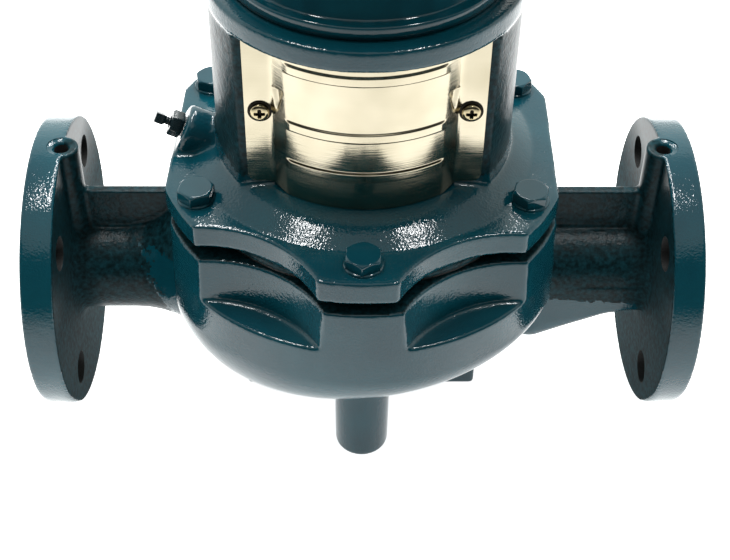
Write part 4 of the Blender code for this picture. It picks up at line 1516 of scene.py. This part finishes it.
    def close_ends(self, guard: Item) -> Item:
        """Fills the two open side edges of the doubled sheet.

        Args:
            guard: the guard's sheet.

        Returns:
            The same guard.
        """
        shape = bmesh.new()
        shape.from_mesh(guard.data)
        bmesh.ops.holes_fill(shape, edges=[edge for edge in shape.edges if edge.is_boundary], sides=0)
        bmesh.ops.recalc_face_normals(shape, faces=shape.faces)
        shape.to_mesh(guard.data)
        shape.free()
        guard.data.set_sharp_from_angle(angle=math.radians(self.crease))
        return guard

    def screw(self, number: int, side: int, sign: int, finishes: Finishes) -> None:
        """Makes one screw with its washer; the faces deep in its recess take the washer's black as painted
        shade.

        Args:
            number: the screw's number.
            side: -1 for the left strip and 1 for the right one.
            sign: -1 for the front guard and 1 for the rear one.
            finishes: the pump's finishes.
        """
        direction = (0, sign, 0)
        seat = (side * self.screw_x, sign * (self.face + self.thickness), self.screw_z)
        edge, top = self.washer_radius, self.washer_height
        washer = turned(rounded([(0, 0, 0), (edge, 0, 0.2), (edge, top, 0.25), (0, top, 0)]), 64)
        fit(f"guard_washer_{number}", along(washer, direction, seat), finishes.washer, Slot.STAINLESS)
        head = self.screw_head.head() + (0, 0, top)
        screw = surface(f"guard_screw_head_{number}", along(head, direction, seat), crease=35)
        for finish in (finishes.screw, finishes.washer):
            screw.data.materials.append(finish)
        # Painted shade: the recess's deep faces take the washer's black finish.
        x, y, z = (from_frame(screw.data.polygons, "center") - seat).T
        low, high = self.black_heights
        black = (np.hypot(x, z) < self.black_radius) & (y * sign < high) & (y * sign > low)
        screw.data.polygons.foreach_set("material_index", black)
        install(screw, finishes.screw, Slot.STAINLESS, f"guard_screw_{number}")


@dataclass
class AirVent:
    """The air vent on the left column: a hexagon fitting and its square-headed bleed screw."""

    tilt: float = 25.0
    seat: Triple = (-96.2, 0.0, 95.8)
    across_flats: float = 12.5
    length: float = 7.2
    collar: float = 5.6
    mouth: float = 3.4
    stem: float = 2.2
    thread: float = 0.25
    head_start: float = 10.6
    head_length: float = 5.0
    head_size: float = 5.5
    head_turn: float = 26.0

    @property
    def direction(self) -> Triple:
        """The way that the vent points."""
        return (-math.cos(math.radians(self.tilt)), 0.0, math.sin(math.radians(self.tilt)))

    def placed(self, points: np.ndarray) -> np.ndarray:
        """Carries points made along Z to the middle of the boss's sloping face, along the vent's axis."""
        return along(points, self.direction, self.seat)

    def build(self, finishes: Finishes) -> None:
        """Builds and paints the fitting and the screw.

        Args:
            finishes: the pump's finishes.
        """
        pieces = {"vent_fitting": ("vent_body", self.body()), "vent_plug": ("vent_screw", self.plug())}
        for name, (node, points) in pieces.items():
            fit(name, self.placed(points), finishes.fitting, Slot.FITTING, node, crease=45)

    def body(self) -> np.ndarray:
        """The hexagon with both ends chamfered, on a thin collar, and the mouth round the stem.

        Returns:
            The grid of points.
        """
        collar, mouth, end = np.full(96, self.collar), np.full(96, self.mouth), self.length
        hexagon = polygon_reach(6, self.across_flats, 50, 30)
        return stacked([(collar * 0, 0.3), (collar, 0.3), (collar, 0.8), (hexagon * 0.92, 0.8),
                        (hexagon, 1.5), (hexagon, end - 1.0), (hexagon * 0.90, end), (mouth, end),
                        (mouth * 0.9, end - 1.0), (mouth * 0, end - 1.0)])

    def plug(self) -> np.ndarray:
        """The bleed screw's threaded stem, shown as fine rings, and its square head.

        Returns:
            The grid of points.
        """
        start, end = self.head_start, self.head_start + self.head_length
        rises = np.linspace(self.length - 1.2, start + 0.1, 24)
        stem = [(np.full(96, self.stem + self.thread * math.cos(5.0 * rise)), rise) for rise in rises]
        square = polygon_reach(4, self.head_size, 40, self.head_turn)
        return stacked([(square * 0, rises[0]), *stem, (square * 0.86, start), (square, start + 0.5),
                        (square, end - 0.5), (square * 0.86, end), (square * 0, end)])


@dataclass
class FlangeMotor:
    """The motor: flanged end shield, finned frame, rear shield and fan cowl."""

    seat: float = 196.3
    shaft_hole: float = 11.4
    spigot: float = 54.6
    flange_radius: float = 71.0
    shield_top: float = 232.0
    frame_radius: float = 61.0
    fin_tip: float = 71.0
    fin_count: int = 28
    fin_half: float = 1.4
    frame_top: float = 354.0
    rear_radius: float = 69.0
    rear_top: float = 368.0
    cowl_radius: float = 72.8
    cowl_bottom: float = 358.0
    cowl_top: float = 420.0
    cowl_wall: float = 1.6
    slots: int = 12
    slot_ends: tuple[float, float] = (19.0, 57.0)
    slot_half_angle: float = 6.5
    box_low: float = 261.0
    box_high: float = 339.0
    pad_x: float = 58.0
    pad_half: float = 43.0
    cowl_screw: PanScrew = PanScrew(4.2, 2.3, 1.2)

    def build(self, finishes: Finishes) -> None:
        """Builds and paints the motor's castings, cowl and screws.

        Args:
            finishes: the pump's finishes.
        """
        fit("motor_flange_shield", turned(self.shield_profile(), 288), finishes.motor, Slot.MOTOR,
            "motor_end_shield", wrap_rows=True, crease=60)
        fit("motor_finned_frame", self.frame(), finishes.motor, Slot.MOTOR, "motor_frame", crease=50)
        low, edge, top = self.frame_top + 0.3, self.rear_radius, self.rear_top
        rear = rounded([(0, low, 0), (edge, low, 1), (edge, top - 4, 4), (edge - 4, top, 2), (0, top, 0)])
        fit("motor_rear_end", turned(rear, 192), finishes.motor, Slot.MOTOR, "motor_rear_shield")
        install(self.cowl(), finishes.motor, Slot.MOTOR, "fan_cowl")
        for number in range(1, 5):
            angle = 90 * number - 45
            seat = (*polar(self.cowl_radius + 0.1, angle), self.cowl_bottom + 5)
            fit(f"cowl_screw_head_{number}", along(self.cowl_screw.head(), (*polar(1, angle), 0), seat),
                finishes.screw, Slot.STEEL, f"cowl_screw_{number}", crease=35)

    def shield_profile(self) -> np.ndarray:
        """The end shield's section: spigot, flange, sloping shoulder, waist and collar.

        Returns:
            Its (radius, height) profile.
        """
        top, seat, hole, rim = self.shield_top, self.seat, self.shaft_hole, self.flange_radius
        return rounded([(hole, seat - 5, 0.3), (self.spigot, seat - 5, 0.5), (self.spigot, seat, 0.3),
                        (rim - 1.2, seat, 0.4), (rim - 1.2, seat + 1.8, 0.4), (rim, seat + 2.2, 0.6),
                        (rim, 203.4, 1.2), (67.6, 204.2, 1.0), (66.4, 204.8, 1.2), (62.5, 212, 4),
                        (60.2, 217, 5), (63, 227, 4), (63, top, 0.8), (hole, top, 0.3)], 5, closed=True)

    def frame(self) -> np.ndarray:
        """The finned frame: between the fins the reach is the frame's radius, on them it is the tips' radius.

        The fins' flanks are steep ramps round their half thickness. Behind the terminal box the reach is cut
        to a flat: the pad's distance over the cosine of the angle.

        Returns:
            The grid of points.
        """
        angle = circle(self.fin_count * 28)
        off = (angle * self.fin_count / TURN) % 1 - 0.5
        distance = np.abs(off) * TURN / self.fin_count * self.fin_tip
        fin = falling(distance, self.fin_half - 0.5, self.fin_half + 0.9)
        low, high = self.shield_top + 0.3, self.frame_top
        height = np.array([low, low, low + 1.2, self.box_low - 0.2, self.box_low, self.box_high,
                           self.box_high + 0.2, high - 1.5, high, high])[:, None]
        inset = np.array([0, 1.2, 0, 0, 0, 0, 0, 0, 1.2, 0])[:, None]
        reach = self.frame_radius + (self.fin_tip - self.frame_radius) * fin[None, :] - inset
        flat = self.pad_x / np.maximum(np.cos(angle), 1e-3)[None, :]
        cut = (height > self.box_low - 0.1) & (height < self.box_high + 0.1) & (np.cos(angle) > 0)
        cut = cut & (np.abs(flat * np.sin(angle)) < self.pad_half)
        reach = np.where(cut, np.minimum(reach, flat), reach)
        reach[[0, -1]] = 0
        return round_axis(reach, height)

    def cowl(self) -> Item:
        """The pressed cowl: a turned skin whose top loses the cells of its air slots, then gets its wall.

        Returns:
            The cowl.
        """
        edge, top, (inner, outer) = self.cowl_radius, self.cowl_top - 0.2, self.slot_ends
        profile = rounded([(edge, self.cowl_bottom, 0), (edge, self.cowl_top - 4, 7), (edge - 11, top, 5),
                           (outer, top, 0), (inner, top, 0), (0, top, 0)], 6)
        count = self.slots * 30
        faces = grid_faces(len(profile), count, False, True)
        radius = profile[:, 0][faces[:, [0, 2]] // count].mean(axis=1)
        angle = (faces[:, 0] % count) * TURN / count
        off = np.abs((angle * self.slots / TURN + 0.5) % 1 - 0.5) * TURN / self.slots
        on_top = profile[:, 1][faces[:, 2] // count] > self.cowl_top - 1
        slot = (radius > inner + 1) & (radius < outer - 0.5) & (off < math.radians(self.slot_half_angle))
        cowl = skinned("fan_cowl_skin", turned(profile, count), faces[~(on_top & slot)], 50)
        modify(cowl, "SOLIDIFY", thickness=self.cowl_wall * MM, offset=-1)
        return applied(cowl)


@dataclass
class TerminalBox:
    """The terminal box on the motor's discharge side, with its lid, screws and two glands underneath."""

    half_width: float = 48.0
    back: float = 62.8
    front: float = 106.0
    lid_front: float = 120.0
    lid_overlap: float = 2.0
    bottom: float = 262.0
    top: float = 338.0
    screw_inset: float = 7.0
    lid_screw: PanScrew = PanScrew(3.8, 2.4, 1.2)
    gland_x: float = 82.25
    gland_spread: float = 20.0
    gland_radius: float = 10.5
    nut_radius: float = 9.3
    nut_ribs: int = 16

    def build(self, finishes: Finishes) -> None:
        """Builds and paints the box and its fittings.

        Args:
            finishes: the pump's finishes.
        """
        for piece, node, back, front, inset, edge in (
                ("terminal_box_body", "terminal_box", self.back, self.front, self.lid_overlap, 3.0),
                ("terminal_box_cover", "terminal_box_lid", self.front + 0.3, self.lid_front, 0, 4.0)):
            low = (back, -self.half_width + inset, self.bottom + inset)
            high = (front, self.half_width - inset, self.top - inset)
            fit(piece, block(low, high, edge), finishes.motor, Slot.MOTOR, node)
        corners = [(side * (self.half_width - self.screw_inset), height) for side in (-1, 1)
                   for height in (self.bottom + self.screw_inset, self.top - self.screw_inset)]
        for number, corner in enumerate(corners, 1):
            head = along(self.lid_screw.head(), (1, 0, 0), (self.lid_front - 0.1, *corner))
            fit(f"lid_screw_head_{number}", head, finishes.screw, Slot.STEEL, f"lid_screw_{number}",
                crease=35)
        for number, side in ((1, -1), (2, 1)):
            seat = (self.gland_x, side * self.gland_spread, self.bottom + 1.7)
            fit(f"gland_nut_{number}", along(self.gland(), (0, 0, -1), seat), finishes.polymer, Slot.POLYMER,
                f"cable_gland_{number}", crease=45)

    def gland(self) -> np.ndarray:
        """A hexagon base, a ribbed dome nut and the mouth's small chamfer.

        Returns:
            The grid of points.
        """
        hexagon = polygon_reach(6, 2 * self.gland_radius * 0.98, 50)
        ribbed = self.nut_radius + 0.25 * np.cos(self.nut_ribs * circle())
        plain = np.full(96, 1.0)
        return stacked([(hexagon * 0, 0), (hexagon * 0.95, 0), (hexagon, 0.6), (hexagon, 5.2),
                        (hexagon * 0.93, 6.0), (ribbed, 6.0), (ribbed, 13.0), (plain * 8.6, 16.0),
                        (plain * 7.0, 19.4), (plain * 5.2, 20.0), (plain * 4.6, 18.4), (plain * 0, 18.4)])


@dataclass
class ShaftTrain:
    """The pieces inside the lantern and the casing, which keep the frame's shapes and get their finishes."""

    steel: tuple[str, ...] = ("impeller", "pump_shaft", "shaft_seal", "shaft_coupling", "motor_shaft",
                              "fan_shaft")

    def build(self, finishes: Finishes, nodes: dict[str, Item]) -> None:
        """Assigns the finishes.

        Args:
            finishes: the pump's finishes.
            nodes: the frame's nodes by name.
        """
        dress = {name: finishes.steel for name in self.steel}
        dress |= {"cover_gasket": finishes.rubber, "cooling_fan": finishes.polymer}
        for name, finish in dress.items():
            for slot in nodes[name].material_slots:
                slot.material = finish
            LOG.info("%s: dressed", name)


@dataclass
class Studio:
    """The pale floor, the soft lights and the camera.

    The camera's place is in drawing millimetres, and its row and focal numbers are the photograph's pixels.
    The lamps and the floor's glow are placed in the frame's metres. Each strip is a lamp's start and end
    (x, y), its width and its radiance. The floor's glow comes up from the first to the second of table_front.
    Angles are degrees, and the room's light changes between the two values of Y that a fade gives.
    """

    camera_place: Triple = (-10.3, -569.8, 527.8)
    pitch: float = 41.08
    yaw: float = 1.18
    roll: float = 0.83
    focal_pixels: float = 1337.4
    image_width: float = 730.0
    image_middle_row: float = 280.0
    axis_row: float = 218.1
    sensor: float = 36.0
    floor_half: float = 6000.0
    table_front: tuple[float, float] = (-1.1, -0.17)
    table_glow: float = 1.0
    backdrop: float = 1.6
    backdrop_colour: str = "#FCFFFA"
    backdrop_top: tuple[float, float] = (43.0, 49.0)
    backdrop_fade: tuple[float, float] = (-0.35, 0.15)
    ceiling: float = 0.90
    front_ceiling: float = 1.0
    ceiling_fade: tuple[float, float] = (-0.5, -0.15)
    camera_side: float = 0.06
    lamp_height: float = 1.05
    strips: dict[str, tuple[float, ...]] = field(default_factory=lambda: {
        "left_strip": (-0.31, -0.12, -0.03, 0.98, 0.06, 56.0),
        "right_strip": (0.28, -0.12, 0.08, 0.98, 0.06, 56.0),
    })

    def build(self) -> None:
        """Sets the whole studio."""
        bpy.context.scene.view_settings.view_transform = "Standard"
        self.floor()
        self.world()
        for name, strip in self.strips.items():
            self.lamp(name, *strip)
        self.camera()

    def floor(self) -> None:
        """A pale floor at the height of the feet, wide enough for every view; its glow is painted light that
        fills the pump's shadow.
        """
        side = np.array([-self.floor_half, self.floor_half])
        floor = surface("studio_floor", grid(side[:, None], side, -PORT_HEIGHT), wrap_columns=False)
        finish = Finish("white_paper_with_painted_glow", Base_Color=linear("#F4F4F4"), Roughness=0.8,
                        Emission_Color=linear("#FFFFFF"))
        # Painted light: the floor glows, fading out in front of the pump.
        fade = limits(finish.axes["Y"], *self.table_front, 0, self.table_glow)
        glow = add_node(finish.tree, "MapRange", fade, interpolation_type="SMOOTHSTEP")
        finish.feed("Emission Strength", glow.outputs[0])
        floor.data.materials.append(finish.material)

    def world(self) -> None:
        """A white backdrop behind the pump up to a height, a grey ceiling brighter in front, a dark room."""
        world = bpy.data.worlds.new("studio")
        bpy.context.scene.world = world
        world.use_nodes = True
        tree = world.node_tree
        tree.nodes.clear()
        way = add_node(tree, "TexCoord").outputs["Generated"]
        axes = add_node(tree, "SeparateXYZ", {0: way}).outputs
        top = tuple(math.sin(math.radians(angle)) for angle in self.backdrop_top)
        parts = {}
        for socket, axis, fade, start, end in (
                ("Factor", "Z", top, 0, 1), ("A", "Y", self.backdrop_fade, self.camera_side, self.backdrop),
                ("B", "Y", self.ceiling_fade, self.front_ceiling, self.ceiling)):
            parts[socket] = add_node(tree, "MapRange", limits(axes[axis], *fade, start, end),
                                     interpolation_type="SMOOTHSTEP").outputs[0]
        glow = add_node(tree, "Mix", parts).outputs[0]
        back = add_node(tree, "Background", {"Color": linear(self.backdrop_colour), "Strength": glow})
        add_node(tree, "OutputWorld", {"Surface": back.outputs[0]})

    def lamp(self, name: str, x: float, y: float, end_x: float, end_y: float, width: float,
             radiance: float) -> None:
        """Hangs a strip light over the pump; its power is pi times its area and its radiance.

        Args:
            name: its name.
            x: the X of its start.
            y: the Y of its start.
            end_x: the X of its end.
            end_y: the Y of its end.
            width: its width.
            radiance: how bright its surface is.
        """
        start, end = Vector((x, y, self.lamp_height)), Vector((end_x, end_y, self.lamp_height))
        light = bpy.data.lights.new(name, "AREA")
        light.shape, light.size, light.size_y = "RECTANGLE", (end - start).length, width
        light.energy = math.pi * width * light.size * radiance
        run, place = (end - start).normalized(), (start + end) / 2
        back = (place - run * place.dot(run)).normalized()
        turn = Matrix((run, back.cross(run), back)).transposed().to_4x4()
        add_object(name, light).matrix_world = Matrix.Translation(place) @ turn

    def camera(self) -> None:
        """The camera at the photograph's place, with the shift that its framing needs."""
        pitch, yaw, roll = (math.radians(angle) for angle in (self.pitch, self.yaw, self.roll))
        ahead = Vector((math.sin(yaw) * math.cos(pitch), math.cos(yaw) * math.cos(pitch), -math.sin(pitch)))
        right = Vector((math.cos(yaw), -math.sin(yaw), 0))
        above = right.cross(ahead)
        level = right * math.cos(roll) + above * math.sin(roll)
        upright = above * math.cos(roll) - right * math.sin(roll)
        data = bpy.data.cameras.new("photo_camera")
        data.sensor_width = self.sensor
        data.lens = self.focal_pixels / self.image_width * self.sensor
        data.shift_y = (self.axis_row - self.image_middle_row) / self.image_width
        item = add_object("photo_camera", data)
        turn = Matrix((level, upright, -ahead)).transposed().to_4x4()
        item.matrix_world = Matrix.Translation(Vector(to_frame(np.array(self.camera_place)))) @ turn
        bpy.context.scene.camera = item


def main() -> None:
    """Builds every sub-assembly round the frame."""
    logging.basicConfig(level=logging.INFO, format="%(message)s")
    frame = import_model()
    finishes = Finishes()
    Studio().build()
    for assembly in (PumpCasing(), LanternCover(), CoverBolts(), CouplingGuards(), AirVent(), FlangeMotor(),
                     TerminalBox()):
        assembly.build(finishes)
    ShaftTrain().build(finishes, frame["nodes"])


if __name__ == "__main__":
    main()
